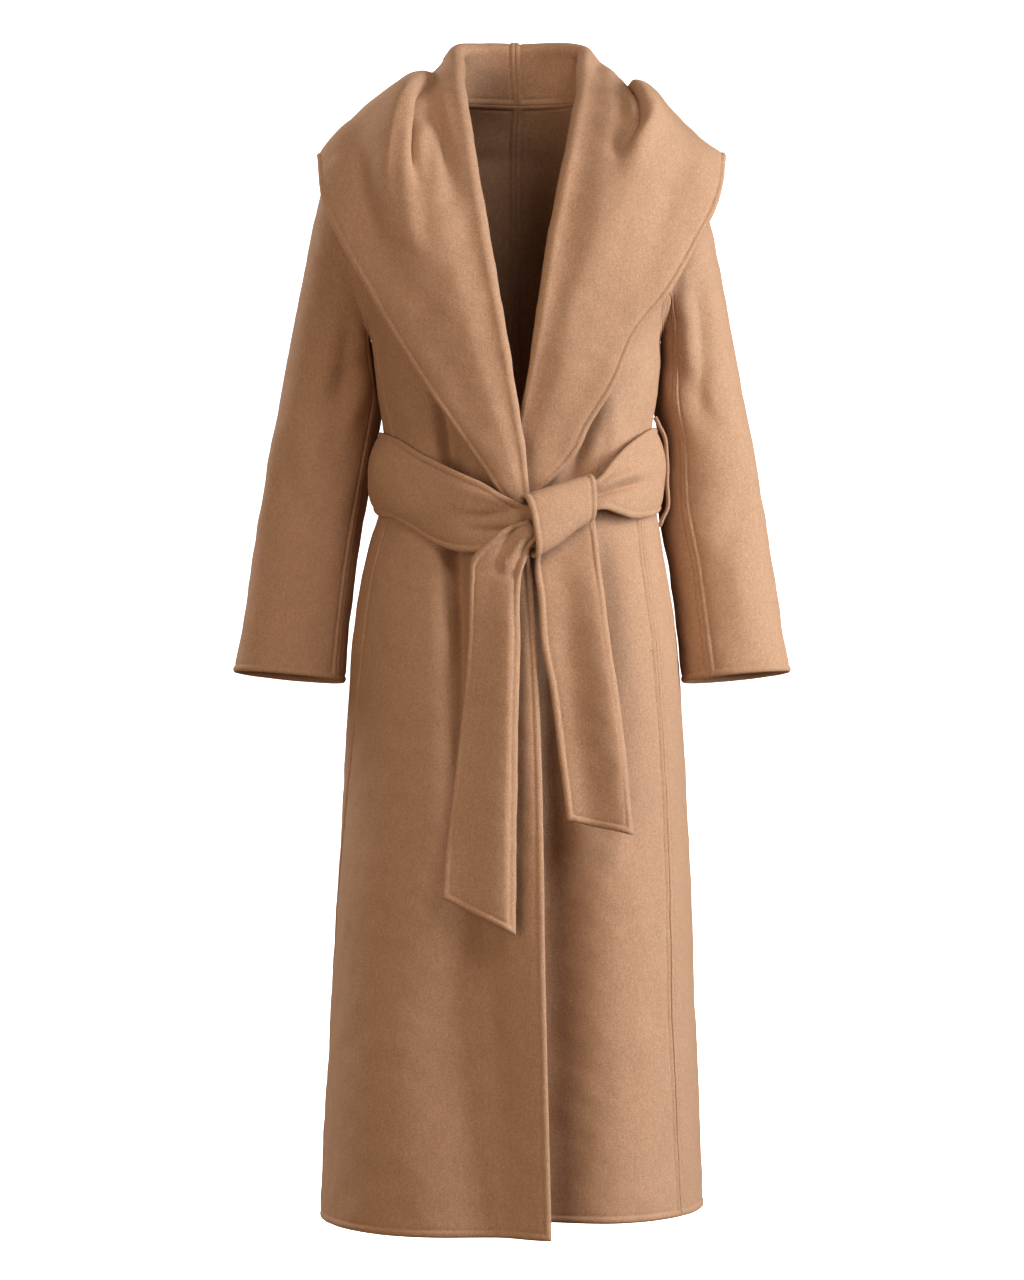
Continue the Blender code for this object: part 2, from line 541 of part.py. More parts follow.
COLLAR_FOLDS = {
    # station_start reach_start station_end reach_end half_reach height
    "right": ((1.1, 0.17, 6.0, 0.52, 0.07, 0.0060), (1.1, 0.05, 5.0, 0.30, 0.06, -0.0050),
              (1.6, 0.62, 5.0, 0.72, 0.10, -0.0040)),
    "left": ((1.0, 0.28, 4.2, 0.42, 0.07, 0.0060), (1.0, 0.16, 4.0, 0.30, 0.06, -0.0060),
             (1.6, 0.64, 5.4, 0.70, 0.10, -0.0035)),
}
STAND_SPANS = 3
ROLL_SPANS = 4
FALL_SPANS = 7


def collar_stations(side):
    front_part = gorge_stations(side)[::-1]
    return np.concatenate([BACK_NECK_STATIONS, front_part[1:]])


def curve(start, leave, end, arrive, part):
    """Cubic from start to end that leaves and arrives with these slopes."""
    return (start * (1 + 2 * part) * (1 - part) ** 2 + leave * part * (1 - part) ** 2
            + end * part ** 2 * (3 - 2 * part) + arrive * part ** 2 * (part - 1))


def length(vectors):
    return np.linalg.norm(vectors, axis=-1, keepdims=True)


def fall_curve(knots, leave, reaches):
    """Rows of the fall: a smooth curve through its knots, read at these shares of its length."""
    lengths = [length(knots[k + 1] - knots[k]) for k in range(len(knots) - 1)]
    spans = [(knots[k + 1] - knots[k]) / lengths[k] for k in range(len(lengths))]
    slopes = [leave]
    for k in range(1, len(spans)):
        slopes.append((spans[k - 1] * lengths[k] + spans[k] * lengths[k - 1]) / (lengths[k - 1] + lengths[k]))
    slopes.append(spans[-1])
    rows = []
    for reach in reaches:
        run, row = reach * sum(lengths), knots[0]
        for k, span in enumerate(lengths):
            part = np.clip(run / span, 0, 1)
            here = curve(knots[k], slopes[k] * span, knots[k + 1], slopes[k + 1] * span, part)
            row = np.where(run >= -WELD, here, row)
            run = run - span
        rows.append(row)
    return np.array(rows)


STAND_LEAN = 0.9                # how straight the stand leaves the neck seam: 1 is straight
STATION_STEP = 0.05             # for the direction along the roll


def collar_grid(side, stations, stand_spans, roll_spans, fall_spans):
    """Middle layer of half a collar: rows run from the neck line over the roll to the outer edge."""
    sign = SIDES[side]
    stations = np.asarray(stations, float)
    read = np.moveaxis(COLLAR[side](stations), 0, -1)
    roll, crown, shoulder, edge, radius = np.split(read, [3, 6, 9, 12], axis=1)
    angle, z = NECK_LINE[side](stations)
    seam = body(sign * angle, z, lapped=side == "right")
    ahead = np.moveaxis(COLLAR[side](stations + STATION_STEP), 0, -1)[:, 0:3]
    behind = np.moveaxis(COLLAR[side](stations - STATION_STEP), 0, -1)[:, 0:3]
    along = unit(ahead - behind)
    along[stations <= 0] = (sign, 0, 0)
    over = roll - (seam + edge) / 2
    over = unit(over - along * np.sum(over * along, axis=1, keepdims=True))
    across = unit(np.cross(along, over)) * -sign
    centre = roll - over * radius
    stand_top, fall_top = centre - across * radius, centre + across * radius
    rise = length(stand_top - seam)
    up = spread(0, 1, stand_spans)[:, None, None]
    stand = curve(seam, (stand_top - seam) * STAND_LEAN + over * rise * (1 - STAND_LEAN),
                  stand_top, over * rise * STAND_LEAN, up)
    swing = spread(0, np.pi, roll_spans)[1:-1, None, None]
    turn_over = centre - across * radius * np.cos(swing) + over * radius * np.sin(swing)
    reaches = spread(0, 1, fall_spans)
    fall = fall_curve([fall_top, crown, shoulder, edge], -over, reaches)
    fall = fall + collar_fold(side, stations, reaches, fall, sign)
    return np.concatenate([stand, turn_over, fall])


FOLD_FADE_ROLL, FOLD_FADE_EDGE = 6, 4       # how fast the collar's folds rise from its roll and edge


def collar_fold(side, stations, reach, fall, sign):
    """Outward movement of the fall at its folds, none at the roll and the outer edge."""
    stations = stations[None, :]
    reach = reach[:, None]
    height = np.zeros((reach.shape[0], stations.shape[1]))
    for start, reach_start, end, reach_end, half_reach, rise in COLLAR_FOLDS[side]:
        part = (stations - start) / (end - start)
        off = reach - (reach_start + (reach_end - reach_start) * part)
        fade = np.where((part > 0) & (part < 1), np.sin(np.pi * np.clip(part, 0, 1)) ** 0.8, 0)
        height = height + rise * fade * np.exp(-(off / half_reach) ** 2)
    height = height * np.clip(np.minimum(reach * FOLD_FADE_ROLL, (1 - reach) * FOLD_FADE_EDGE), 0, 1)
    down = np.gradient(fall, axis=0)
    round_neck = np.gradient(fall, axis=1)
    outward = unit(np.cross(round_neck, down)) * sign
    return outward * height[..., None]


def collar(side):
    grid = collar_grid(side, collar_stations(side), STAND_SPANS, ROLL_SPANS, FALL_SPANS)
    return Cloth("collar_" + side, [grid], flip=side == "left")


# ------------------------------------------------------------------ belt

# The belt's stretch round the waist, from its end in the knot, round the wearer's right and the
# back, to its other end in the knot. The mark only orders the rows; lift is off the body skin.
BELT = Table("mark angle top bottom lift bow", (
    (0.0, 4.5, -0.4365, -0.4770, 0.0400, 0.0),
    (0.25, 1.0, -0.4335, -0.4790, 0.0390, 0.0),
    (0.5, -3.0, -0.4255, -0.4800, 0.0370, 0.001),
    (1.0, -10.0, -0.4120, -0.4820, 0.0320, 0.002),
    (1.5, -19.0, -0.4010, -0.4810, 0.0270, 0.003),
    (2.0, -30.0, -0.3890, -0.4720, 0.0175, 0.004),
    (2.5, -42.0, -0.3780, -0.4580, 0.0100, 0.006),
    (3.0, -56.0, -0.3650, -0.4470, 0.0050, 0.011),
    (3.5, -72.0, -0.3570, -0.4420, 0.0040, 0.017),
    (4.0, -90.0, -0.3530, -0.4360, 0.0040, 0.016),
    (4.5, -110.0, -0.3520, -0.4310, 0.0044, 0.008),
    (5.0, -140.0, -0.3520, -0.4290, 0.0046, 0.007),
    (6.0, -180.0, -0.3520, -0.4290, 0.0044, 0.006),
    (7.0, -220.0, -0.3500, -0.4280, 0.0042, 0.007),
    (7.5, -250.0, -0.3490, -0.4300, 0.0040, 0.007),
    (8.0, -270.0, -0.3480, -0.4340, 0.0040, 0.0135),
    (8.5, -285.0, -0.3510, -0.4396, 0.0042, 0.015),
    (9.0, -298.0, -0.3580, -0.4433, 0.0060, 0.011),
    (9.5, -312.0, -0.3704, -0.4460, 0.0115, 0.006),
    (10.0, -322.5, -0.3868, -0.4415, 0.0175, 0.003),
    (10.5, -328.5, -0.4025, -0.4375, 0.0210, 0.001),
    (11.0, -332.5, -0.4110, -0.4390, 0.0220, 0.0),
))
BELT_MARKS = np.concatenate([spread(0, 3.5, 12), spread(3.5, 8.5, 18)[1:], spread(8.5, 11, 9)[1:]])
BELT_SPANS = 4
BELT_SKIN_LOW, BELT_SKIN_HIGH = -0.440, -0.348      # the belt bridges the body past these


def belt_points(marks, reaches, lift=0.0):
    angle, top, bottom, off, bow = (column[:, None] for column in BELT(marks))
    reaches = np.asarray(reaches)[None, :]
    z = top + (bottom - top) * reaches
    waist_z = np.clip(z, BELT_SKIN_LOW, BELT_SKIN_HIGH)
    off = off + bow * (1 - (2 * reaches - 1) ** 2) - fold_height(angle, waist_z)
    points = body(angle, waist_z, lift=lift + off)
    points[..., 2] = z
    return points


def belt_waist():
    return Cloth("belt_waist", [belt_points(BELT_MARKS, np.linspace(0, 1, BELT_SPANS + 1))], flip=True)


# The knot's wrap: an open ring of cloth round the two ends of the belt.
KNOT = Table("part top_x top_y top_z bottom_x bottom_y bottom_z half_depth", (
    (0.0, 0.0110, -.1590, -0.4260, 0.0215, -.1570, -0.4875, 0.0125),
    (0.35, 0.0340, -.1480, -0.4180, 0.0430, -.1470, -0.4755, 0.0128),
    (0.7, 0.0590, -.1350, -0.4090, 0.0640, -.1345, -0.4590, 0.0122),
    (1.0, 0.0815, -.1235, -0.4035, 0.0825, -.1230, -0.4475, 0.0105),
))
KNOT_FRONT = (0.483, -0.876, 0.0)
KNOT_SPANS = 6
KNOT_TURNS = 20
KNOT_FLAT_RISE, KNOT_FLAT_PUSH = 0.85, 0.75     # below 1, these flatten the ring's front and back


def knot_points(parts, turns):
    read = np.moveaxis(KNOT(parts), 0, -1)
    top, bottom, half_depth = read[:, 0:3], read[:, 3:6], read[:, 6]
    swing = np.radians(turns)
    centre, reach = (top + bottom) / 2, (top - bottom) / 2
    rise = np.sign(np.cos(swing)) * np.abs(np.cos(swing)) ** KNOT_FLAT_RISE
    push = np.sign(np.sin(swing)) * np.abs(np.sin(swing)) ** KNOT_FLAT_PUSH
    forward = np.array(KNOT_FRONT)[None, None, :]
    return (centre[:, None] + reach[:, None] * rise[None, :, None]
            + forward * (half_depth[:, None] * push[None])[..., None])


def belt_knot():
    turns = spread(0, 360, KNOT_TURNS)
    return Cloth("belt_knot", [knot_points(spread(0, 1, KNOT_SPANS), turns)], closed=True)


# The hanging ends, from the knot down: left and right edge at each height, and how far in front.
TAIL = {
    "right": Table("z left_x left_y right_x right_y left_drop right_drop pleat", (
        (-0.4700, 0.0260, -.1325, 0.0840, -.1110, 0.0030, 0.0300, 0.0000),
        (-0.4920, 0.0230, -.1390, 0.0880, -.1240, 0.0010, 0.0150, 0.0015),
        (-0.5315, 0.0276, -.1500, 0.0940, -.1400, 0.0, 0.0, 0.0030),
        (-0.5724, 0.0300, -.1570, 0.0990, -.1490, 0.0, 0.0, 0.0025),
        (-0.6244, 0.0397, -.1640, 0.1065, -.1550, 0.0, 0.0, 0.0020),
        (-0.6864, 0.0478, -.1690, 0.1147, -.1590, 0.0, 0.0, 0.0015),
        (-0.7600, 0.0565, -.1740, 0.1213, -.1640, 0.0048, -0.0110, 0.0010),
    )),
    "left": Table("z left_x left_y right_x right_y left_drop right_drop pleat", (
        (-0.4560, 0.0180, -.1615, 0.0270, -.1595, 0.0060, -0.0120, 0.0),
        (-0.4680, -.0090, -.1625, 0.0230, -.1590, 0.0080, -0.0120, -0.0010),
        (-0.4800, -.0330, -.1590, 0.0206, -.1621, 0.0, -0.0110, -0.0020),
        (-0.5090, -.0427, -.1570, 0.0088, -.1610, 0.0, 0.0, -0.0035),
        (-0.5317, -.0438, -.1580, 0.0075, -.1615, 0.0, 0.0, -0.0040),
        (-0.5720, -.0448, -.1620, 0.0081, -.1640, 0.0, 0.0, -0.0030),
        (-0.6446, -.0508, -.1680, 0.0061, -.1700, 0.0, 0.0, -0.0020),
        (-0.7177, -.0589, -.1740, 0.0051, -.1760, 0.0, 0.0, -0.0015),
        (-0.7795, -.0665, -.1790, 0.0041, -.1810, 0.0, 0.0, -0.0010),
        (-0.8480, -.0705, -.1840, 0.0035, -.1870, 0.0140, -0.0230, 0.0),
    )),
}
TAIL_ROWS = {"right": 16, "left": 22}
TAIL_COLUMNS = 4


def tail_points(side, heights, reaches):
    left_x, left_y, right_x, right_y, left_drop, right_drop, pleat = (
        column[:, None] for column in TAIL[side](heights))
    reaches = np.asarray(reaches)[None, :]
    wave = pleat * np.cos(2 * np.pi * reaches)
    x = left_x + (right_x - left_x) * reaches
    y = left_y + (right_y - left_y) * reaches + wave
    z = np.asarray(heights)[:, None] + left_drop + (right_drop - left_drop) * reaches
    return np.stack([x, y, z], axis=-1)


def belt_tail(side):
    table = TAIL[side]
    heights = spread(table.places[0], table.places[-1], TAIL_ROWS[side])
    return Cloth("belt_tail_" + side, [tail_points(side, heights, np.linspace(0, 1, TAIL_COLUMNS + 1))])


# ------------------------------------------------------------------ small pieces

LOOP_ANGLE = {"right": -112.0, "left": 90.0}
LOOP_HALF_ANGLE = 1.6
LOOP_SPANS = 14
LOOP_REACH = {"right": 0.0145, "left": 0.0185}      # how far it stands off over the belt
LOOP = Table("mark z part", (
    (0, -0.3360, 0.00), (1, -0.3430, 0.27), (2, -0.3620, 0.82), (3, -0.3930, 1.00),
    (4, -0.4260, 0.77), (5, -0.4430, 0.27), (6, -0.4520, 0.00),
))


def belt_loop(side):
    marks = spread(LOOP.places[0], LOOP.places[-1], LOOP_SPANS)
    z, part = (column[:, None] for column in LOOP(marks))
    lift = WALL + SEAM_GAP + LOOP_REACH[side] * part
    angles = LOOP_ANGLE[side] + spread(-LOOP_HALF_ANGLE, LOOP_HALF_ANGLE, 2)[None, :]
    return Cloth("belt_loop_" + side, [body(angles, z, lift=lift)], flip=True)


POCKET_TOP, POCKET_BOTTOM = -0.440, -0.640
POCKET_REACH = 34.0             # angle from the side seam to the bag's inner edge
POCKET_GAP = 0.0012             # between the front's inner face and the bag's edge
POCKET_EASE = 0.004             # how far the bag stands in, in its middle
POCKET_ROWS, POCKET_COLUMNS = 7, 6
POCKET_SEAM = 2.0               # angle that the bag keeps from the side seam
POCKET_TAPER = 0.12             # share of its width that the bag loses at the bottom
POCKET_ROUND = 0.018            # how far its lower corners are rounded up


def pocket_bag(side):
    up, across = np.meshgrid(spread(0, 1, POCKET_ROWS), spread(0, 1, POCKET_COLUMNS), indexing="ij")
    z = POCKET_BOTTOM + (POCKET_TOP - POCKET_BOTTOM) * up + POCKET_ROUND * (1 - up) * (2 * across - 1) ** 2
    seam = side_seam(side, z)[..., 0]
    angle = seam - POCKET_SEAM - POCKET_REACH * across * (1 - POCKET_TAPER * (1 - up))
    stand_in = POCKET_EASE * np.sin(np.pi * up) * np.sin(np.pi * across)
    points = body(SIDES[side] * angle, z, lift=-(WALL + POCKET_GAP + stand_in))
    return Cloth("pocket_bag_" + side, [points], flip=side == "left")


# ------------------------------------------------------------------ assembly

def main():
    for thing in list(bpy.data.objects):
        bpy.data.objects.remove(thing, do_unlink=True)
    collection = bpy.data.collections.new("wool_wrap_coat")
    bpy.context.scene.collection.children.link(collection)
    cloths = []
    for side in SIDES:
        cloths += [front(side), back(side), *sleeve(side), collar(side)]
    seams = []
    for cloth in cloths:
        tree = kdtree.KDTree(len(cloth.points))
        for index, point in enumerate(cloth.points):
            if index in cloth.inward:
                tree.insert(point.tolist(), index)
        tree.balance()
        seams.append((cloth, tree))
    for cloth in cloths:
        wall_object(cloth, seams, CAMEL)
    loose = [belt_waist(), belt_knot()]
    for side in SIDES:
        loose += [belt_tail(side), belt_loop(side), pocket_bag(side)]
    for cloth in loose:
        wall_object(cloth, [], TAUPE if cloth.name.startswith("pocket") else CAMEL)


main()
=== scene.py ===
"""Looks of a long wool wrap coat, worn shape with no wearer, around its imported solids.

Metres, +Z up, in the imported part's own frame: X runs to the wearer's left, the front faces -Y, and
Z = 0 is where the neck meets the shoulders. Each piece of cloth is a fine closed wall of the cloth's
thickness round a middle layer. The middle layers are read from the same skins (body, sleeve, collar
and belt) as the solids, and they carry finer folds. The tables of sections are the solids' too, but
for two rows of the left tail and two at the belt's end, seven of the body's folds that are left out,
weaker pleats in the tails and a wider gap at the pocket bags. Edges that are turned and pressed, and
seams, are worked into both faces of the wall.
"""
import json

import bpy
import numpy as np
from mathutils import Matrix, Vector, kdtree

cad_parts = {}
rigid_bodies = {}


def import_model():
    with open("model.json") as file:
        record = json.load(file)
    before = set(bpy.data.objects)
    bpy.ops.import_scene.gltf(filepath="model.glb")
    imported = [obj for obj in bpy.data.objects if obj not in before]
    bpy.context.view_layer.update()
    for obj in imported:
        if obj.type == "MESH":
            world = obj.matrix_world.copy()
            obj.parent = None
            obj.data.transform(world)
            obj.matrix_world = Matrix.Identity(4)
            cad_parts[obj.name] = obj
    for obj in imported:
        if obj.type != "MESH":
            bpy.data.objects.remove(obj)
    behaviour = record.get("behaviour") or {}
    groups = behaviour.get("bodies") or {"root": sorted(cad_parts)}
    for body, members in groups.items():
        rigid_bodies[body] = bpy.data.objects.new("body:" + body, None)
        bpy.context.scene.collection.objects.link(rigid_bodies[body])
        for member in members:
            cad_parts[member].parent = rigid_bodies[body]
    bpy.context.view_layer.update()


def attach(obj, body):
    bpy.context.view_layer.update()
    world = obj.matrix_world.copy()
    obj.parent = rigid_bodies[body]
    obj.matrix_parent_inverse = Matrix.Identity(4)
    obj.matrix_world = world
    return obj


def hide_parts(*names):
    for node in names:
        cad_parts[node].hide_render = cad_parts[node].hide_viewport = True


MM = 0.001
CAMERA_PLACE = (0.0, -4.2, -0.5724)
WALL = 0.0026               # double-faced wool
CELL = 0.0044               # the meshes' usual cell
BACK_CELL = 0.0052
COLLAR_CELL = (0.0018, 0.0042)      # across the collar and along it
BELT_CELL = 0.0026
LOOP_CELL = 0.002
HEM_Z = {"right": -1.179, "left": -1.168}
HEM_BACK_Z = -1.172
NECK_POINT = (90.0, 0.0)            # angle and height where collar, shoulder seam and neck meet
SHOULDER_TIP = (92.0, -0.050)
ARMHOLE_CENTRE_Z = -0.150
ARMHOLE_HALF_HEIGHT = 0.100
ARMHOLE_HALF_ANGLE = 28.0
ARMHOLE_FOOT_Z = -0.236             # where the side seams meet the armholes
SIDE_SEAM_TURN = 149.0              # where the side seam meets the armhole, as a sleeve turn
LEVEL_TURN = 210.0                  # where the back's upper part starts on the armhole
BACK_SEAM_TURN = 235.0              # sleeve's back seam
FORWARD_SEAM_TURN = {"right": 149.0, "left": 121.0}
LAP_START_X = -0.115                # the right front lifts off the left one from here
LAP_FULL_X = -0.062                 # to here, where the lap is whole
SIDES = {"right": -1, "left": 1}    # the wearer's


# ------------------------------------------------------------------ tables

STEEPEST = 2.5                      # a monotone curve's slope, over that of its flatter span


def curve(start, leave, end, arrive, part):
    """Cubic from start to end that leaves and arrives with these slopes."""
    return (start * (1 + 2 * part) * (1 - part) ** 2 + leave * part * (1 - part) ** 2
            + end * part ** 2 * (3 - 2 * part) + arrive * part ** 2 * (part - 1))


def slopes_between(places, values, monotone):
    """Slope at each row: the mean of its two spans, or none where a monotone curve turns."""
    steps = np.diff(places)[:, None]
    spans = np.diff(values, axis=0) / steps
    slopes = np.empty_like(values)
    slopes[0], slopes[-1] = spans[0], spans[-1]
    before, after = steps[:-1], steps[1:]
    slopes[1:-1] = (spans[:-1] * after + spans[1:] * before) / (before + after)
    if monotone:
        turning = spans[:-1] * spans[1:] <= 0
        limit = STEEPEST * np.minimum(np.abs(spans[:-1]), np.abs(spans[1:]))
        inner = np.sign(slopes[1:-1]) * np.minimum(np.abs(slopes[1:-1]), limit)
        slopes[1:-1] = np.where(turning, 0, inner)
    return slopes


class Table:
    """Rows of columns, named for the reader. Called with places in the first, it reads between rows."""

    def __init__(self, _columns, rows, monotone=False):
        data = np.array(sorted(rows), dtype=float)
        self.places, self.values = data[:, 0], data[:, 1:]
        self.slopes = slopes_between(self.places, self.values, monotone)

    def __call__(self, at):
        at = np.clip(np.asarray(at, dtype=float), self.places[0], self.places[-1])
        row = np.clip(np.searchsorted(self.places, at, side="right") - 1, 0, len(self.places) - 2)
        step = (self.places[row + 1] - self.places[row])[..., None]
        part = (at[..., None] - self.places[row][..., None]) / step
        return np.moveaxis(curve(self.values[row], self.slopes[row] * step, self.values[row + 1],
                                 self.slopes[row + 1] * step, part), -1, 0)


def ease(value, start, full):
    part = np.clip((np.asarray(value) - start) / (full - start), 0, 1)
    return part * part * (3 - 2 * part)


def spread(start, end, count):
    """Places from start to end, both included, with this many spans."""
    return np.linspace(start, end, count + 1)


def unit(vectors):
    return vectors / np.maximum(np.linalg.norm(vectors, axis=-1, keepdims=True), 1e-12)


# ------------------------------------------------------------------ body skin

BODY = Table("z half_width centre front back squareness lap", (
    (-1.19, .2015, 0, .191, .176, 2.15, .006),
    (-1.07, .196, .0015, .184, .17, 2.15, .006),
    (-.963, .19, .0027, .177, .163, 2.15, .006),
    (-.806, .184, .003, .165, .153, 2.2, .006),
    (-.7, .1785, .003, .156, .147, 2.2, .0062),
    (-.636, .175, .003, .15, .142, 2.25, .0065),
    (-.534, .1655, .0025, .133, .128, 2.3, .0075),
    (-.47, .153, .004, .12, .113, 2.3, .01),
    (-.436, .145, .006, .115, .104, 2.3, .01),
    (-.397, .137, .006, .112, .099, 2.3, .01),
    (-.354, .14, .006, .114, .1, 2.3, .0085),
    (-.317, .1468, .0058, .118, .102, 2.3, .006),
    (-.287, .1501, .0055, .12, .104, 2.3, .004),
    (-.25, .1528, .0038, .121, .106, 2.3, .002),
    (-.2, .17, .003, .112, .105, 2.25, 0),
    (-.15, .182, .003, .1, .103, 2.2, 0),
    (-.1, .186, .003, .084, .1, 2.15, 0),
    (-.07, .185, .003, .073, .097, 2.1, 0),
    (-.05, .18, .003, .065, .094, 2.05, 0),
    (-.04, .159, .003, .059, .09, 2, 0),
    (-.03, .137, .0035, .055, .086, 2, 0),
    (-.02, .115, .004, .051, .082, 2, 0),
    (-.01, .094, .005, .047, .077, 2, 0),
    (0, .078, .006, .044, .071, 2, 0),
    (.01, .07, .006, .041, .066, 2, 0),
), monotone=True)

# Soft folds of the body: a crest or, with a height below nought, a trough, running between two
# angles and two heights. Angles are from the front's middle, to the wearer's left.
BODY_FOLDS = (
    # angle_low angle_high z_low z_high half_angle height
    (-150, -142, -1.17, -.52, 9, .006),
    (-163, -160, -1.17, -.6, 7, -.0045),
    (170, 168, -1.17, -.5, 9, .005),
    (136, 144, -1.17, -.56, 9, -.0055),
    (115, 122, -1.17, -.6, 8, .0045),
    (150, 156, -.44, -.18, 7, -.004),
    (-150, -154, -.44, -.2, 7, -.004),
)
FOLD_FADE_UP = 0.35             # share of a fold's length over which it fades out at the top
FOLD_FADE_DOWN = 0.15           # metres over which it fades out below its lower end


def fold_height(angle, z):
    """How far the body's folds stand out of its skin."""
    height = np.zeros(np.broadcast(angle, z).shape)
    for angle_low, angle_high, z_low, z_high, half_angle, rise in BODY_FOLDS:
        part = np.clip((z - z_low) / (z_high - z_low), 0, 1)
        off = (angle - (angle_low + (angle_high - angle_low) * part) + 180) % 360 - 180
        fade = 1 - ease(z, z_high - FOLD_FADE_UP * (z_high - z_low), z_high)
        fade = fade * ease(z, z_low - FOLD_FADE_DOWN, z_low)
        height = height + rise * fade * np.exp(-(off / half_angle) ** 2)
    return height


def body(angle, z, lift=0.0, lapped=False):
    """Middle layer of the body at an angle in degrees and a height, moved out by lift."""
    angle, z = np.broadcast_arrays(np.asarray(angle, float), np.asarray(z, float))
    half_width, centre, front, back, squareness, lap = BODY(z)
    sine, cosine = np.sin(np.radians(angle)), np.cos(np.radians(angle))
    across = np.sign(sine) * np.abs(sine) ** (2 / squareness)
    along = np.sign(cosine) * np.abs(cosine) ** (2 / squareness)
    depth = np.where(cosine > 0, front, back)
    x, y = half_width * across, -depth * along
    outward = unit(np.stack([x / half_width ** 2, y / depth ** 2], axis=-1))
    height = lift + fold_height(angle, z)
    if lapped:
        height = height + lap * ease(x + centre, LAP_START_X, LAP_FULL_X)
    return np.stack([x + centre + outward[..., 0] * height, y + outward[..., 1] * height, z], axis=-1)


def front_angle(x, z):
    """Angle at which the front of the skin reaches x."""
    half_width, centre, _, _, squareness, _ = BODY(z)
    part = np.clip((x - centre) / half_width, -1, 1)
    return np.degrees(np.arcsin(np.sign(part) * np.abs(part) ** (squareness / 2)))


SIDE_SEAM = Table("z right left", (
    (-1.19, 90, 59), (-.963, 84, 57.5), (-.85, 80, 58), (-.7, 73.5, 58),
    (-.583, 67, 56.5), (-.5, 67, 56), (-.436, 67, 58), (-.38, 67, 62),
    (-.327, 70, 68), (-.236, 77.6, 77.6),
))
FRONT_EDGE = {
    "right": Table("z x", ((-1.190, 0.0376), (-0.900, 0.0310), (-0.730, 0.0290), (-0.572, 0.0235),
                           (-.466, .016))),
    "left": Table("z x", ((-1.190, -0.0400), (-0.800, -0.0360), (-0.572, -0.0280), (-0.455, -0.0120))),
}
# The line where the collar is sewn on, from the back's middle (station 0) past the neck point
# (station 1.5) to where the front edge breaks. Angles are measured towards the piece's own side.
NECK_LINE = {
    "right": Table("station angle z", (
        (0, 180, .004), (.75, 145, .0035), (1.5, 90, 0), (2, 50, -.012),
        (3, 36, -.038), (4, 28, -.075), (5, 22.5, -.122), (6, 19.5, -.171),
        (7, 17, -.23), (8, 13.5, -.29), (9, 9, -.345), (10, 4.8, -.388),
        (11, -2.6, -.466))),
    "left": Table("station angle z", (
        (0, 180, .004), (.75, 145, .0035), (1.5, 90, 0), (2, 58, -.012),
        (3, 42, -.038), (4, 32, -.07), (5, 27, -.12), (6, 24, -.168),
        (7, 20.5, -.225), (8, 15, -.29), (9, 9.5, -.347), (10, 3.2, -.395),
        (11, -4.2, -.455))),
}
BREAK_STATION = 11
NECK_STATION = 1.5


# ------------------------------------------------------------------ fine grids

def length(vectors):
    return np.linalg.norm(vectors, axis=-1, keepdims=True)


def line_between(start, end, steps):
    steps = np.asarray(steps)[:, None]
    return np.asarray(start) * (1 - steps) + np.asarray(end) * steps


def coons(bottom, top, inner, outer):
    """Grid of (angle, z) between four edges; rows run from bottom to top, columns inner to outer."""
    across = np.linspace(0, 1, len(bottom))[None, :, None]
    up = np.linspace(0, 1, len(inner))[:, None, None]
    ruled_up = bottom[None] * (1 - up) + top[None] * up
    ruled_across = inner[:, None] * (1 - across) + outer[:, None] * across
    corners = ((bottom[0] * (1 - across) + bottom[-1] * across) * (1 - up)
               + (top[0] * (1 - across) + top[-1] * across) * up)
    return ruled_up + ruled_across - corners


def runs(points):
    """Length run along each column of a grid, from its first row."""
    steps = np.linalg.norm(np.diff(points, axis=0), axis=-1)
    return np.concatenate([np.zeros((1, points.shape[1])), np.cumsum(steps, axis=0)])


def read_rows(points, at):
    """A grid's columns read between its rows, each column at its own places."""
    padded = np.concatenate([2 * points[:1] - points[1:2], points, 2 * points[-1:] - points[-2:-1]])
    row = np.clip(at.astype(int), 0, len(points) - 2)
    column = np.arange(points.shape[1])[None]
    before, start, end, after = (padded[row + step, column] for step in range(4))
    return curve(start, (end - before) / 2, end, (after - start) / 2, (at - row)[..., None])


# Distances of the grid lines from an edge that has relief, and from one that has none.
WORKED = np.array([0.0, 0.7, 2.4, 4.4, 5.4, 6.3, 7.2, 8.6, 10.6, 13.0]) * MM
PLAIN = np.array([0.0])
MOST_WORKED = 0.8               # share of a narrow piece's width that its edges' relief may take


def squeeze(lengths, low=WORKED, high=WORKED):
    """How far the relief of two edges is narrowed on lines of these lengths."""
    return np.minimum(1, MOST_WORKED * lengths / max(low[-1] + high[-1], MM))


def stops(lengths, low, high, cell):
    """Places along lines of these lengths: at set distances from both ends, and even between."""
    narrow = squeeze(lengths, low, high)
    start, end = low[-1] * narrow, lengths - high[-1] * narrow
    count = max(int(round(float(np.max(end - start)) / cell)), 2)
    between = start + (end - start) * spread(0, 1, count)[1:-1, None]
    return np.concatenate([low[:, None] * narrow, between, lengths - high[::-1, None] * narrow])


def place_rows(points, at):
    """A grid with its rows moved to these lengths along its columns."""
    run, index = runs(points), np.arange(len(points))
    places = [np.interp(at[:, k], run[:, k], index) for k in range(points.shape[1])]
    return read_rows(points, np.stack(places, axis=1))


def swap(grid):
    return np.swapaxes(grid, 0, 1)


def refine(points, low=WORKED, high=WORKED, first=WORKED, last=WORKED, cell=CELL, wide=None):
    """Even grid with lines at set distances from its edges: low and high rows, first and last columns."""
    points = place_rows(points, stops(runs(points)[-1], low, high, cell))
    points = swap(points)
    return swap(place_rows(points, stops(runs(points)[-1], first, last, wide or cell)))


# ------------------------------------------------------------------ cloth

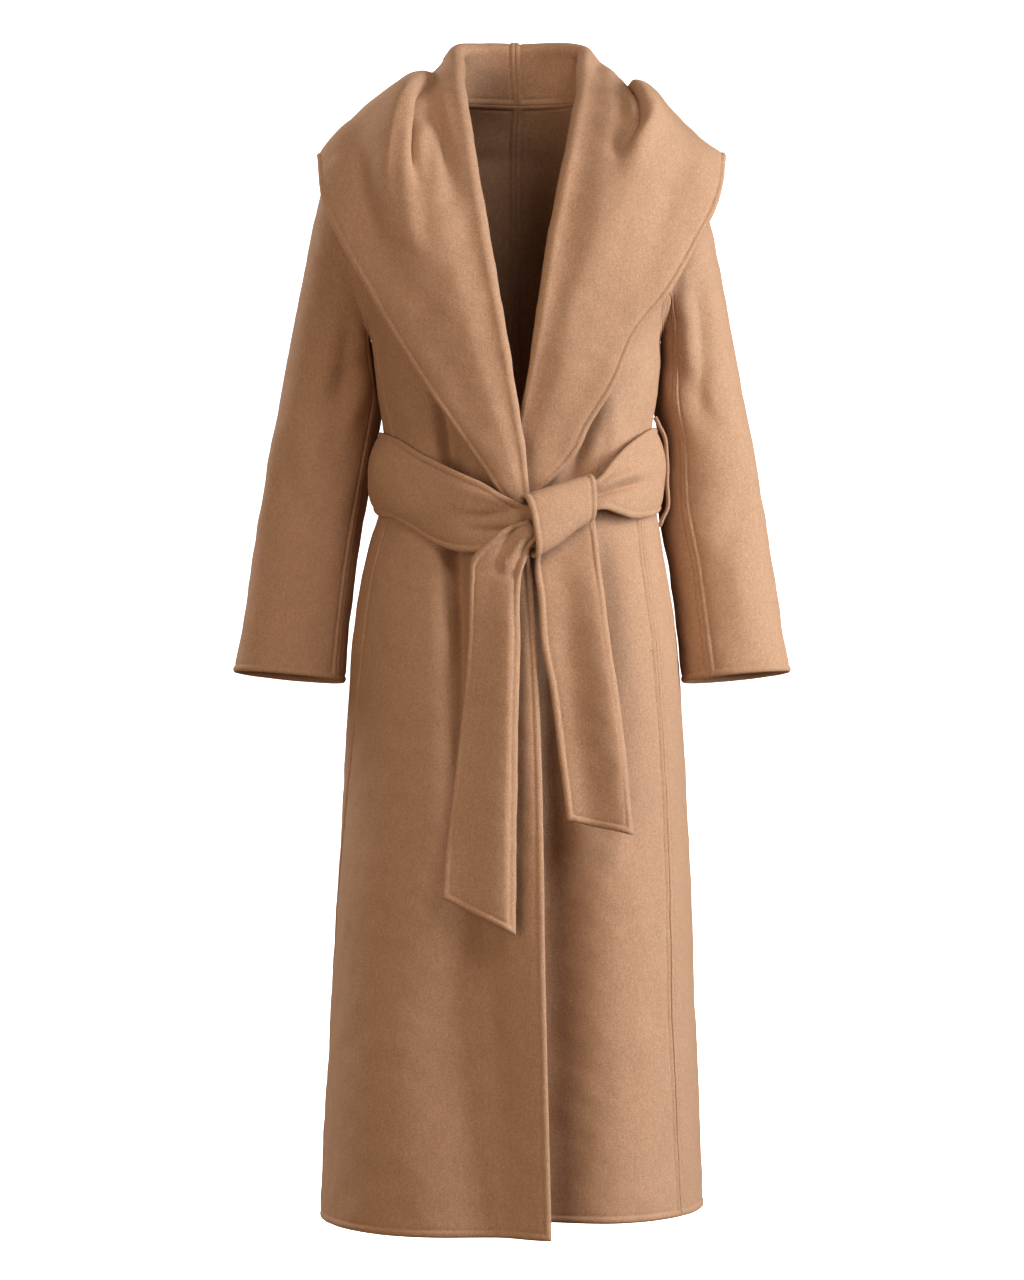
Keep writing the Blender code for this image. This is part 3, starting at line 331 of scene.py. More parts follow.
# Height of an edge's relief in mm over the distance from it in mm: a turned edge is a pressed band
# with a sunk line of stitches inside it, and a seam is a groove between two narrow bands.
TURNED = Table("distance height", (
    (0, -.45), (.7, .3), (2.4, .85), (4.4, .7), (5.4, .2), (6.3, -.45), (7.2, -.6),
    (8.6, -.25), (10.6, -.05), (13, 0),
), monotone=True)
SEAM = Table("distance height", (
    (0, .3), (.7, .65), (2.4, .85), (4.4, .4), (5.4, -.65), (6.3, -.85), (7.2, -.5), (8.6, -.1),
    (13, 0),
), monotone=True)
SEAM_INSIDE = Table("distance height", (
    (0, .8), (.7, 1.3), (2.4, 1.5), (4.4, .8), (5.4, -.5), (6.3, -.7), (7.2, -.3), (8.6, 0),
    (13, 0),
), monotone=True)
MITRE_REACH = 8 * MM            # over this distance a wall turns towards its neighbour's
SEAM_MATCH = 5 * MM             # points of two cloths nearer than this may lie on one seam
SEAM_BLUR = 1.5 * MM
LEAST_MITRE = 0.6               # cosine that limits how far a mitre reaches out
WELD = 1e-6
ROUND = 0.7 * MM                # how far the middle of a turned edge stands out
VIEWS = {                       # a grid laid out from one of its edges
    "low": lambda grid: grid,
    "high": lambda grid: grid[::-1],
    "first": swap,
    "last": lambda grid: swap(grid)[::-1],
}


class Grid:
    """A fine grid of a middle layer, with the relief of its edges on both faces."""

    def __init__(self, points, **edges):
        """An edge's value says how far it is turned, from 0, a seam, to 1; it has no relief at nan."""
        self.points = points
        self.outside, self.inside, self.free = np.zeros((3, *points.shape[:2]))
        nearest = np.full(points.shape[:2], np.inf)
        self.seams = []
        for name, turned in edges.items():
            view = VIEWS[name]
            run = runs(view(points))
            turned = np.broadcast_to(np.asarray(turned, float), run.shape[1:])
            there, turned = ~np.isnan(turned), np.nan_to_num(turned)
            worn = np.where(there, run / squeeze(run[-1]) / MM, np.inf)
            closer = worn < view(nearest)
            for field, profile in ((self.outside, SEAM), (self.inside, SEAM_INSIDE)):
                seam, turn = profile(np.minimum(worn, 99))[0], TURNED(np.minimum(worn, 99))[0]
                view(field)[closer] = ((seam + (turn - seam) * turned) * MM)[closer]
            view(nearest)[closer] = worn[closer]
            border = view(self.free)[0]
            border[...] = np.maximum(border, turned * there)
            self.seams.append((view, (1 - ease(run, 0, MITRE_REACH)) * there * (turned < 0.5)))


def quads_of(ids):
    return np.stack([ids[:-1, :-1], ids[:-1, 1:], ids[1:, 1:], ids[1:, :-1]], axis=-1).reshape(-1, 4)


class Cloth:
    """One piece of cloth: fine grids welded where they share points, faced outward."""

    def __init__(self, name, grids, flip=False):
        self.name, self.grids = name, grids
        points = np.concatenate([grid.points.reshape(-1, 3) for grid in grids])
        keys = np.round(points / WELD).astype(np.int64)
        _, chosen, same = np.unique(keys, axis=0, return_index=True, return_inverse=True)
        self.points = points[chosen]
        ends = np.cumsum([grid.outside.size for grid in grids])[:-1]
        parts = np.split(same.ravel(), ends)
        self.ids = [part.reshape(grid.outside.shape) for part, grid in zip(parts, grids)]
        self.outside, self.inside, self.free = (
            np.concatenate([getattr(grid, field).ravel() for grid in grids])[chosen]
            for field in ("outside", "inside", "free"))
        self.quads = np.concatenate([quads_of(ids) for ids in self.ids])
        if flip:
            self.quads = self.quads[:, ::-1]
        self.measure()

    def measure(self):
        """Normals, the rim's edges, and the direction out of the cloth along it."""
        count = len(self.points)
        corners = self.points[self.quads]
        facing = np.cross(corners[:, 2] - corners[:, 0], corners[:, 3] - corners[:, 1])
        self.area = np.linalg.norm(facing, axis=1).sum() / 2
        self.normals = unit(gather(self.quads.ravel(), np.repeat(facing, 4, axis=0), count))
        edges = np.stack([self.quads, np.roll(self.quads, -1, axis=1)], axis=-1).reshape(-1, 2)
        open_edges = ~np.isin(edges[:, 0] * count + edges[:, 1], edges[:, 1] * count + edges[:, 0])
        self.rim = edges[open_edges]
        along = self.points[self.rim[:, 1]] - self.points[self.rim[:, 0]]
        out = unit(np.cross(along, np.repeat(facing, 4, axis=0)[open_edges]))
        self.out = unit(gather(self.rim.ravel(), np.repeat(out, 2, axis=0), count))
        self.lean = np.zeros_like(self.normals)

    def turn_to_neighbours(self, shifts):
        """Leans the wall at a seam towards its neighbour's, less and less into the cloth."""
        total, (weight, most) = np.zeros_like(self.normals), np.zeros((2, len(self.points)))
        for grid, ids in zip(self.grids, self.ids):
            for view, near in grid.seams:
                at = view(ids)
                moved = shifts[at[0]][None] * near[..., None]
                total += gather(at.ravel(), moved.reshape(-1, 3), len(total))
                weight += np.bincount(at.ravel(), near.ravel(), len(total))
                np.maximum.at(most, at.ravel(), near.ravel())
        self.lean = total * (most / np.maximum(weight, 1e-9))[:, None]


def gather(index, values, count):
    """Sum of values at each index."""
    return np.stack([np.bincount(index, values[:, k], count) for k in range(3)], axis=-1)


def mitre(cloths):
    """Turns the walls of cloths that share a seam towards each other there."""
    rims = [np.unique(cloth.rim) for cloth in cloths]
    tree = kdtree.KDTree(sum(len(rim) for rim in rims))
    owners = []
    for number, (cloth, rim) in enumerate(zip(cloths, rims)):
        for v in rim:
            tree.insert(cloth.points[v], len(owners))
            owners.append((number, v))
    tree.balance()
    for number, (cloth, rim) in enumerate(zip(cloths, rims)):
        shifts = np.zeros_like(cloth.normals)
        for v in rim:
            if cloth.free[v] > 0.5:
                continue
            shared = {}
            for _, index, distance in tree.find_range(cloth.points[v], SEAM_MATCH):
                other, u = owners[index]
                if other != number:
                    weight = np.exp(-(distance / SEAM_BLUR) ** 2)
                    shared[other] = shared.get(other, 0) + cloths[other].normals[u] * weight
            own = cloth.normals[v]
            common = unit(own + sum((unit(normal) for normal in shared.values()), np.zeros(3)))
            shifts[v] = common / max(LEAST_MITRE, float(common @ own)) - own
        cloth.turn_to_neighbours(shifts)


RIPPLES = [                     # slight unevenness of soft cloth: wavelength and height
    (.074, .00022), (.061, .0002), (.053, .00018), (.046, .00017), (.039, .00015),
    (.034, .00013), (.029, .00011), (.025, .0001), (.021, 8e-05), (.018, 7e-05),
]
RIPPLE_BEND, RIPPLE_BEND_LENGTH = 0.3, 2.7      # how far a ripple's line sways, over what length
CHANCE = np.random.default_rng(8)
RIPPLE_WAYS = unit(CHANCE.normal(size=(len(RIPPLES), 3)))
RIPPLE_STARTS = CHANCE.uniform(0, 2 * np.pi, len(RIPPLES))


def ripple(points):
    height = np.zeros(len(points))
    for (wavelength, rise), way, start in zip(RIPPLES, RIPPLE_WAYS, RIPPLE_STARTS):
        bent = points + RIPPLE_BEND * wavelength * np.sin(
            points[:, [1, 2, 0]] * 2 * np.pi / (RIPPLE_BEND_LENGTH * wavelength))
        height += rise * np.sin(bent @ way * 2 * np.pi / wavelength + start)
    return height


def wall_object(cloth, material, thickness=WALL):
    """The piece's mesh: both faces with their relief, and a rounded rim between them."""
    stand = cloth.normals + cloth.lean
    facing = unit(stand)
    uneven = ripple(cloth.points)
    outer = cloth.points + stand * thickness / 2 + facing * (cloth.outside + uneven)[:, None]
    inner = cloth.points - stand * thickness / 2 - facing * (cloth.inside - uneven)[:, None]
    rim = np.unique(cloth.rim)
    place = np.zeros(len(outer), dtype=int)
    place[rim] = np.arange(len(rim)) + 2 * len(outer)
    middle = cloth.points[rim] + cloth.out[rim] * (ROUND * cloth.free[rim])[:, None]
    middle += facing[rim] * uneven[rim, None]
    vertices = np.concatenate([outer, inner, middle])
    a, b = cloth.rim[:, 0], cloth.rim[:, 1]
    faces = np.concatenate([
        cloth.quads, cloth.quads[:, ::-1] + len(outer),
        np.stack([b, a, place[a], place[b]], axis=1),
        np.stack([place[b], place[a], a + len(outer), b + len(outer)], axis=1)])
    return mesh_object(cloth.name + "_cloth", vertices, faces, material)


def mesh_object(name, vertices, faces, material):
    mesh = bpy.data.meshes.new(name)
    mesh.from_pydata(vertices.tolist(), [], faces.tolist())
    mesh.shade_smooth()
    mesh.materials.append(material)
    thing = bpy.data.objects.new(name, mesh)
    bpy.context.scene.collection.objects.link(thing)
    return thing


# ------------------------------------------------------------------ sleeve skin

# Sections of the sleeves past the armhole. X is a distance from the coat's middle.
SLEEVE = (
    # right_inner_x left_inner_x inner_z outer_x outer_z centre_y half_depth
    (.1524, .1598, -.2538, .19, -.06, .008, .053),
    (.1504, .1588, -.262, .2, -.09, .018, .057),
    (.1482, .158, -.274, .2135, -.145, .026, .06),
    (.1448, .1562, -.292, .2275, -.212, .036, .06),
    (.1402, .153, -.322, .2415, -.285, .043, .057),
    (.1466, .158, -.365, .2555, -.36, .044, .054),
    (.1575, .1572, -.43, .268, -.435, .039, .051),
    (.1675, .1685, -.495, .2785, -.505, .026, .049),
    (.1745, .176, -.56, .2875, -.57, .014, .047),
    (.1785, .1825, -.617, .294, -.606, .004, .045),
)
CUFF_TILT = 0.004               # the cuff's front edge stands higher by twice this
SLEEVE_FOLDS = (
    # turn_high turn_low station_high station_low half_turn height
    (150, 100, 3.6, 6.6, 13, .004),
    (128, 70, 3.8, 6.2, 12, -.0035),
    (205, 250, 3.6, 6.8, 13, .004),
    (20, 35, 5, 8.6, 16, .0025),
)


def sleeve_points(side, turns, stations):
    """Middle layer of a sleeve: rows are stations from the armhole to the cuff."""
    sign = SIDES[side]
    turns = np.asarray(turns, float)
    hole = armhole(turns)
    rings = [body(sign * hole[:, 0], hole[:, 1])]
    swing = np.radians(turns)
    for row, (right_x, left_x, inner_z, outer_x, outer_z, centre_y, half_depth) in enumerate(SLEEVE):
        inner_x = left_x if side == "left" else right_x
        middle_x, middle_z = (inner_x + outer_x) / 2, (inner_z + outer_z) / 2
        reach_x, reach_z = (outer_x - inner_x) / 2, (outer_z - inner_z) / 2
        tilt = CUFF_TILT * np.sin(swing) * (row / (len(SLEEVE) - 1)) ** 2
        x = middle_x + reach_x * np.cos(swing)
        y = centre_y - half_depth * np.sin(swing)
        z = middle_z + reach_z * np.cos(swing) + tilt
        rings.append(np.stack([sign * x, y, z], axis=-1))
    rings = np.array(rings)
    rings = np.column_stack([np.arange(len(rings)), rings.reshape(len(rings), -1)])
    points = np.moveaxis(Table("ring", rings.tolist())(stations), 0, -1)
    points = points.reshape(len(stations), len(turns), 3)
    outward = np.stack([sign * np.cos(swing), -np.sin(swing), np.zeros(len(swing))], axis=-1)[None]
    height = np.zeros(points.shape[:2])
    for turn_high, turn_low, high, low, half_turn, rise in SLEEVE_FOLDS:
        part = np.clip((np.asarray(stations) - high) / (low - high), 0, 1)[:, None]
        off = (turns[None] - (turn_high + (turn_low - turn_high) * part) + 180) % 360 - 180
        fade = np.sin(np.pi * part) ** 2
        height += rise * fade * np.exp(-(off / half_turn) ** 2)
    return points + outward * height[..., None]


# ------------------------------------------------------------------ collar skin

# Sections across the collar: where it rolls over, two places on the fall, and its outer edge.
# The roll's radius is half the space that the stand and the fall keep there.
COLLAR = {
    "right": Table("station roll_x roll_y roll_z a_x a_y a_z b_x b_y b_z edge_x edge_y edge_z radius", (
        (0, .003, .062, .0676, .003, .098, .012, .003, .114, -.085, .003, .122, -.148, .008),
        (.5, -.028, .056, .0675, -.048, .092, .016, -.076, .108, -.08, -.094, .114, -.138, .008),
        (1, -.0535, .036, .062, -.084, .058, .027, -.15, .08, -.05, -.176, .086, -.104, .008),
        (1.5, -.053, .01, .04, -.104, .018, .024, -.176, .048, -.03, -.2, .052, -.082, .008),
        (2, -.0507, -.015, .0138, -.11, -.022, .01, -.184, .008, -.032, -.205, .014, -.062, .008),
        (3, -.0445, -.05, -.027, -.104, -.06, -.026, -.178, -.04, -.06, -.202, -.024, -.08, .008),
        (4, -.0374, -.078, -.073, -.094, -.09, -.073, -.165, -.07, -.103, -.1925, -.055, -.12, .008),
        (5, -.0295, -.102, -.122, -.084, -.112, -.12, -.148, -.092, -.147, -.1745, -.077, -.158, .008),
        (6, -.0216, -.118, -.1706, -.07, -.126, -.17, -.124, -.11, -.197, -.1455, -.096, -.2075, .0075),
        (7, -.011, -.13, -.23, -.054, -.136, -.228, -.1, -.12, -.247, -.118, -.106, -.254, .0065),
        (8, -.001, -.134, -.29, -.037, -.139, -.288, -.072, -.127, -.301, -.088, -.117, -.305, .0055),
        (9, .0075, -.135, -.345, -.02, -.141, -.341, -.048, -.134, -.346, -.061, -.127, -.347, .0045),
        (10, .014, -.134, -.388, -.005, -.139, -.386, -.024, -.136, -.391, -.032, -.131, -.392, .0038),
        (11, .0206, -.133, -.47, .0185, -.136, -.469, .0165, -.1362, -.466, .015, -.136, -.4635,
         .0022),
    )),
    "left": Table("station roll_x roll_y roll_z a_x a_y a_z b_x b_y b_z edge_x edge_y edge_z radius", (
        (0, .003, .062, .0676, .003, .098, .012, .003, .114, -.085, .003, .122, -.148, .008),
        (.5, .036, .056, .0675, .054, .092, .016, .084, .108, -.08, .1, .114, -.138, .008),
        (1, .0705, .036, .062, .098, .058, .026, .16, .08, -.052, .188, .086, -.104, .008),
        (1.5, .071, .01, .04, .118, .018, .023, .192, .048, -.036, .216, .052, -.084, .008),
        (2, .0695, -.015, .0138, .126, -.022, .008, .202, .008, -.042, .224, .012, -.061, .008),
        (3, .0625, -.05, -.028, .12, -.06, -.026, .196, -.04, -.062, .2225, -.022, -.082, .008),
        (4, .0545, -.078, -.07, .11, -.09, -.071, .182, -.07, -.103, .2105, -.055, -.12, .008),
        (5, .045, -.101, -.12, .099, -.112, -.118, .165, -.09, -.144, .193, -.074, -.153, .008),
        (6, .036, -.118, -.168, .087, -.126, -.166, .139, -.109, -.197, .162, -.096, -.2075, .0075),
        (7, .028, -.127, -.225, .067, -.133, -.224, .108, -.119, -.247, .125, -.107, -.254, .0065),
        (8, .018, -.126, -.29, .053, -.133, -.29, .088, -.121, -.303, .1045, -.113, -.305, .005),
        (9, .008, -.1195, -.347, .036, -.1255, -.345, .066, -.12, -.347, .08, -.114, -.347, .0028),
        (10, -.002, -.1155, -.395, .022, -.12, -.393, .047, -.118, -.391, .058, -.115, -.39, .0022),
        (11, -.015, -.1195, -.455, -.0125, -.122, -.4545, -.01, -.1222, -.453, -.008, -.122,
         -.452, .002),
    )),
}
COLLAR_FOLDS = {
    # station_start reach_start station_end reach_end half_reach height
    "right": ((1.1, .17, 6, .52, .07, .006), (1.1, .05, 5, .3, .06, -.005),
              (1.6, .62, 5, .72, .1, -.004)),
    "left": ((1, .28, 4.2, .42, .07, .006), (1, .16, 4, .3, .06, -.006),
             (1.6, .64, 5.4, .7, .1, -.0035)),
}


def fall_curve(knots, leave, reaches):
    """Rows of the fall: a smooth curve through its knots, read at these shares of its length."""
    lengths = [length(knots[k + 1] - knots[k]) for k in range(len(knots) - 1)]
    spans = [(knots[k + 1] - knots[k]) / lengths[k] for k in range(len(lengths))]
    slopes = [leave]
    for k in range(1, len(spans)):
        before, after = lengths[k - 1], lengths[k]
        slopes.append((spans[k - 1] * after + spans[k] * before) / (before + after))
    slopes.append(spans[-1])
    rows = []
    for reach in reaches:
        run, row = reach * sum(lengths), knots[0]
        for k, span in enumerate(lengths):
            part = np.clip(run / span, 0, 1)
            here = curve(knots[k], slopes[k] * span, knots[k + 1], slopes[k + 1] * span, part)
            row = np.where(run >= -WELD, here, row)
            run = run - span
        rows.append(row)
    return np.array(rows)


STAND_LEAN = 0.9                # how straight the stand leaves the neck seam: 1 is straight
STATION_STEP = 0.05             # for the direction along the roll
FOLD_FADE_ROLL, FOLD_FADE_EDGE = 6, 4       # how fast the collar's folds rise from its roll and edge


def collar_grid(side, stations, stand_spans, roll_spans, fall_spans):
    """Middle layer of half a collar: rows run from the neck line over the roll to the outer edge."""
    sign = SIDES[side]
    stations = np.asarray(stations, float)
    read = np.moveaxis(COLLAR[side](stations), 0, -1)
    roll, crown, shoulder, edge, radius = np.split(read, [3, 6, 9, 12], axis=1)
    angle, z = NECK_LINE[side](stations)
    seam = body(sign * angle, z, lapped=side == "right")
    ahead = np.moveaxis(COLLAR[side](stations + STATION_STEP), 0, -1)[:, 0:3]
    behind = np.moveaxis(COLLAR[side](stations - STATION_STEP), 0, -1)[:, 0:3]
    along = unit(ahead - behind)
    along[stations <= 0] = (sign, 0, 0)
    over = roll - (seam + edge) / 2
    over = unit(over - along * np.sum(over * along, axis=1, keepdims=True))
    across = unit(np.cross(along, over)) * -sign
    centre = roll - over * radius
    stand_top, fall_top = centre - across * radius, centre + across * radius
    rise = length(stand_top - seam)
    up = spread(0, 1, stand_spans)[:, None, None]
    stand = curve(seam, (stand_top - seam) * STAND_LEAN + over * rise * (1 - STAND_LEAN),
                  stand_top, over * rise * STAND_LEAN, up)
    swing = spread(0, np.pi, roll_spans)[1:-1, None, None]
    turn_over = centre - across * radius * np.cos(swing) + over * radius * np.sin(swing)
    reaches = spread(0, 1, fall_spans)
    fall = fall_curve([fall_top, crown, shoulder, edge], -over, reaches)
    fall = fall + collar_fold(side, stations, reaches, fall, sign)
    return np.concatenate([stand, turn_over, fall])


def collar_fold(side, stations, reach, fall, sign):
    """Outward movement of the fall at its folds, none at the roll and the outer edge."""
    stations = stations[None, :]
    reach = reach[:, None]
    height = np.zeros((reach.shape[0], stations.shape[1]))
    for start, reach_start, end, reach_end, half_reach, rise in COLLAR_FOLDS[side]:
        part = (stations - start) / (end - start)
        off = reach - (reach_start + (reach_end - reach_start) * part)
        fade = np.where((part > 0) & (part < 1), np.sin(np.pi * np.clip(part, 0, 1)) ** 0.8, 0)
        height = height + rise * fade * np.exp(-(off / half_reach) ** 2)
    height = height * np.clip(np.minimum(reach * FOLD_FADE_ROLL, (1 - reach) * FOLD_FADE_EDGE), 0, 1)
    down = np.gradient(fall, axis=0)
    round_neck = np.gradient(fall, axis=1)
    outward = unit(np.cross(round_neck, down)) * sign
    return outward * height[..., None]


# ------------------------------------------------------------------ belt skins

# The belt's stretch round the waist, from its end in the knot, round the wearer's right and the
# back, to its other end in the knot. The mark only orders the rows; lift is off the body skin.
BELT = Table("mark angle top bottom lift bow", (
    (0, 4.5, -.4365, -.477, .04, 0),
    (.25, 1, -.4335, -.479, .039, 0),
    (.5, -3, -.4255, -.48, .037, .001),
    (1, -10, -.412, -.482, .032, .002),
    (1.5, -19, -.401, -.481, .027, .003),
    (2, -30, -.389, -.472, .0175, .004),
    (2.5, -42, -.378, -.458, .01, .006),
    (3, -56, -.365, -.447, .005, .011),
    (3.5, -72, -.357, -.442, .004, .017),
    (4, -90, -.353, -.436, .004, .016),
    (4.5, -110, -.352, -.431, .0044, .008),
    (5, -140, -.352, -.429, .0046, .007),
    (6, -180, -.352, -.429, .0044, .006),
    (7, -220, -.35, -.428, .0042, .007),
    (7.5, -250, -.349, -.43, .004, .007),
    (8, -270, -.348, -.434, .004, .0135),
    (8.5, -285, -.351, -.4396, .0042, .015),
    (9, -298, -.358, -.4433, .006, .011),
    (9.5, -312, -.3704, -.446, .0115, .006),
    (10, -322.5, -.3868, -.4415, .0175, .003),
    (10.5, -329.3, -.4025, -.4375, .021, .001),
    (11, -335.2, -.411, -.439, .022, 0),
))
BELT_SKIN_LOW, BELT_SKIN_HIGH = -0.440, -0.348      # the belt bridges the body past these


def belt_points(marks, reaches, lift=0.0):
    angle, top, bottom, off, bow = (column[:, None] for column in BELT(marks))
    reaches = np.asarray(reaches)[None, :]
    z = top + (bottom - top) * reaches
    waist_z = np.clip(z, BELT_SKIN_LOW, BELT_SKIN_HIGH)
    off = off + bow * (1 - (2 * reaches - 1) ** 2) - fold_height(angle, waist_z)
    points = body(angle, waist_z, lift=lift + off)
    points[..., 2] = z
    return points


KNOT = Table("part top_x top_y top_z bottom_x bottom_y bottom_z half_depth", (
    (0, .011, -.159, -.426, .0215, -.157, -.4875, .0125),
    (.35, .034, -.148, -.418, .043, -.147, -.4755, .0128),
    (.7, .059, -.135, -.409, .064, -.1345, -.459, .0122),
    (1, .0815, -.1235, -.4035, .0825, -.123, -.4475, .0105),
))
KNOT_FRONT = (0.483, -0.876, 0.0)
KNOT_FLAT_RISE, KNOT_FLAT_PUSH = 0.85, 0.75     # below 1, these flatten the ring's front and back


def knot_points(parts, turns):
    read = np.moveaxis(KNOT(parts), 0, -1)
    top, bottom, half_depth = read[:, 0:3], read[:, 3:6], read[:, 6]
    swing = np.radians(turns)
    centre, reach = (top + bottom) / 2, (top - bottom) / 2
    rise = np.sign(np.cos(swing)) * np.abs(np.cos(swing)) ** KNOT_FLAT_RISE
    push = np.sign(np.sin(swing)) * np.abs(np.sin(swing)) ** KNOT_FLAT_PUSH
    forward = np.array(KNOT_FRONT)[None, None, :]
    return (centre[:, None] + reach[:, None] * rise[None, :, None]
            + forward * (half_depth[:, None] * push[None])[..., None])


# The hanging ends, from the knot down: left and right edge at each height, and how far in front.
# Unlike all else, the hanging ends are named by the photo's sides: "left" is on the wearer's right.
TAIL = {
    "right": Table("z left_x left_y right_x right_y left_drop right_drop pleat", (
        (-.47, .026, -.1325, .084, -.111, .003, .03, 0),
        (-.492, .023, -.139, .088, -.124, .001, .015, .0015),
        (-.5315, .0276, -.15, .094, -.14, 0, 0, .003),
        (-.5724, .03, -.157, .099, -.149, 0, 0, .0025),
        (-.6244, .0397, -.164, .1065, -.155, 0, 0, .002),
        (-.6864, .0478, -.169, .1147, -.159, 0, 0, .0015),
        (-.76, .0565, -.174, .1213, -.164, .0048, -.011, .001),
    )),
    "left": Table("z left_x left_y right_x right_y left_drop right_drop pleat", (
        (-.456, .018, -.1615, .027, -.1595, .006, -.012, 0),
        (-.468, -.009, -.1625, .0185, -.159, .008, -.012, -.001),
        (-.48, -.033, -.159, .014, -.1621, 0, -.011, -.002),
        (-.509, -.0427, -.157, .0088, -.161, 0, 0, -.0035),
        (-.5317, -.0438, -.158, .0075, -.1615, 0, 0, -.004),
        (-.572, -.0448, -.162, .0081, -.164, 0, 0, -.003),
        (-.6446, -.0508, -.168, .0061, -.17, 0, 0, -.002),
        (-.7177, -.0589, -.174, .0051, -.176, 0, 0, -.0015),
        (-.7795, -.0665, -.179, .0041, -.181, 0, 0, -.001),
        (-.848, -.0705, -.184, .0035, -.187, .014, -.023, 0),
    )),
}


PLEAT_SHARE = 0.2               # of the solid tails' pleats: their own folds stand in for the rest


def tail_points(side, heights, reaches):
    left_x, left_y, right_x, right_y, left_drop, right_drop, pleat = (
        column[:, None] for column in TAIL[side](heights))
    reaches = np.asarray(reaches)[None, :]
    wave = PLEAT_SHARE * pleat * np.cos(2 * np.pi * reaches)
    x = left_x + (right_x - left_x) * reaches
    y = left_y + (right_y - left_y) * reaches + wave
    z = np.asarray(heights)[:, None] + left_drop + (right_drop - left_drop) * reaches
    return np.stack([x, y, z], axis=-1)


# ------------------------------------------------------------------ small pieces

SEAM_GAP = 0.0003           # between a loop and the coat
LOOP_ANGLE = {"right": -112.0, "left": 90.0}
LOOP_HALF_ANGLE = 1.6
LOOP_REACH = {"right": 0.0145, "left": 0.0185}      # how far it stands off over the belt
LOOP = Table("mark z part", (
    (0, -.336, 0), (1, -.343, .27), (2, -.362, .82), (3, -.393, 1),
    (4, -.426, .77), (5, -.443, .27), (6, -.452, 0),
))


POCKET_TOP, POCKET_BOTTOM = -0.440, -0.640
POCKET_REACH = 34.0             # angle from the side seam to the bag's inner edge
POCKET_GAP = 0.0026             # between the front's inner face and the bag's edge
POCKET_EASE = 0.004             # how far the bag stands in, in its middle
POCKET_SEAM = 2.0               # angle that the bag keeps from the side seam
POCKET_TAPER = 0.12             # share of its width that the bag loses at the bottom
POCKET_ROUND = 0.018            # how far its lower corners are rounded up


# ------------------------------------------------------------------ folds

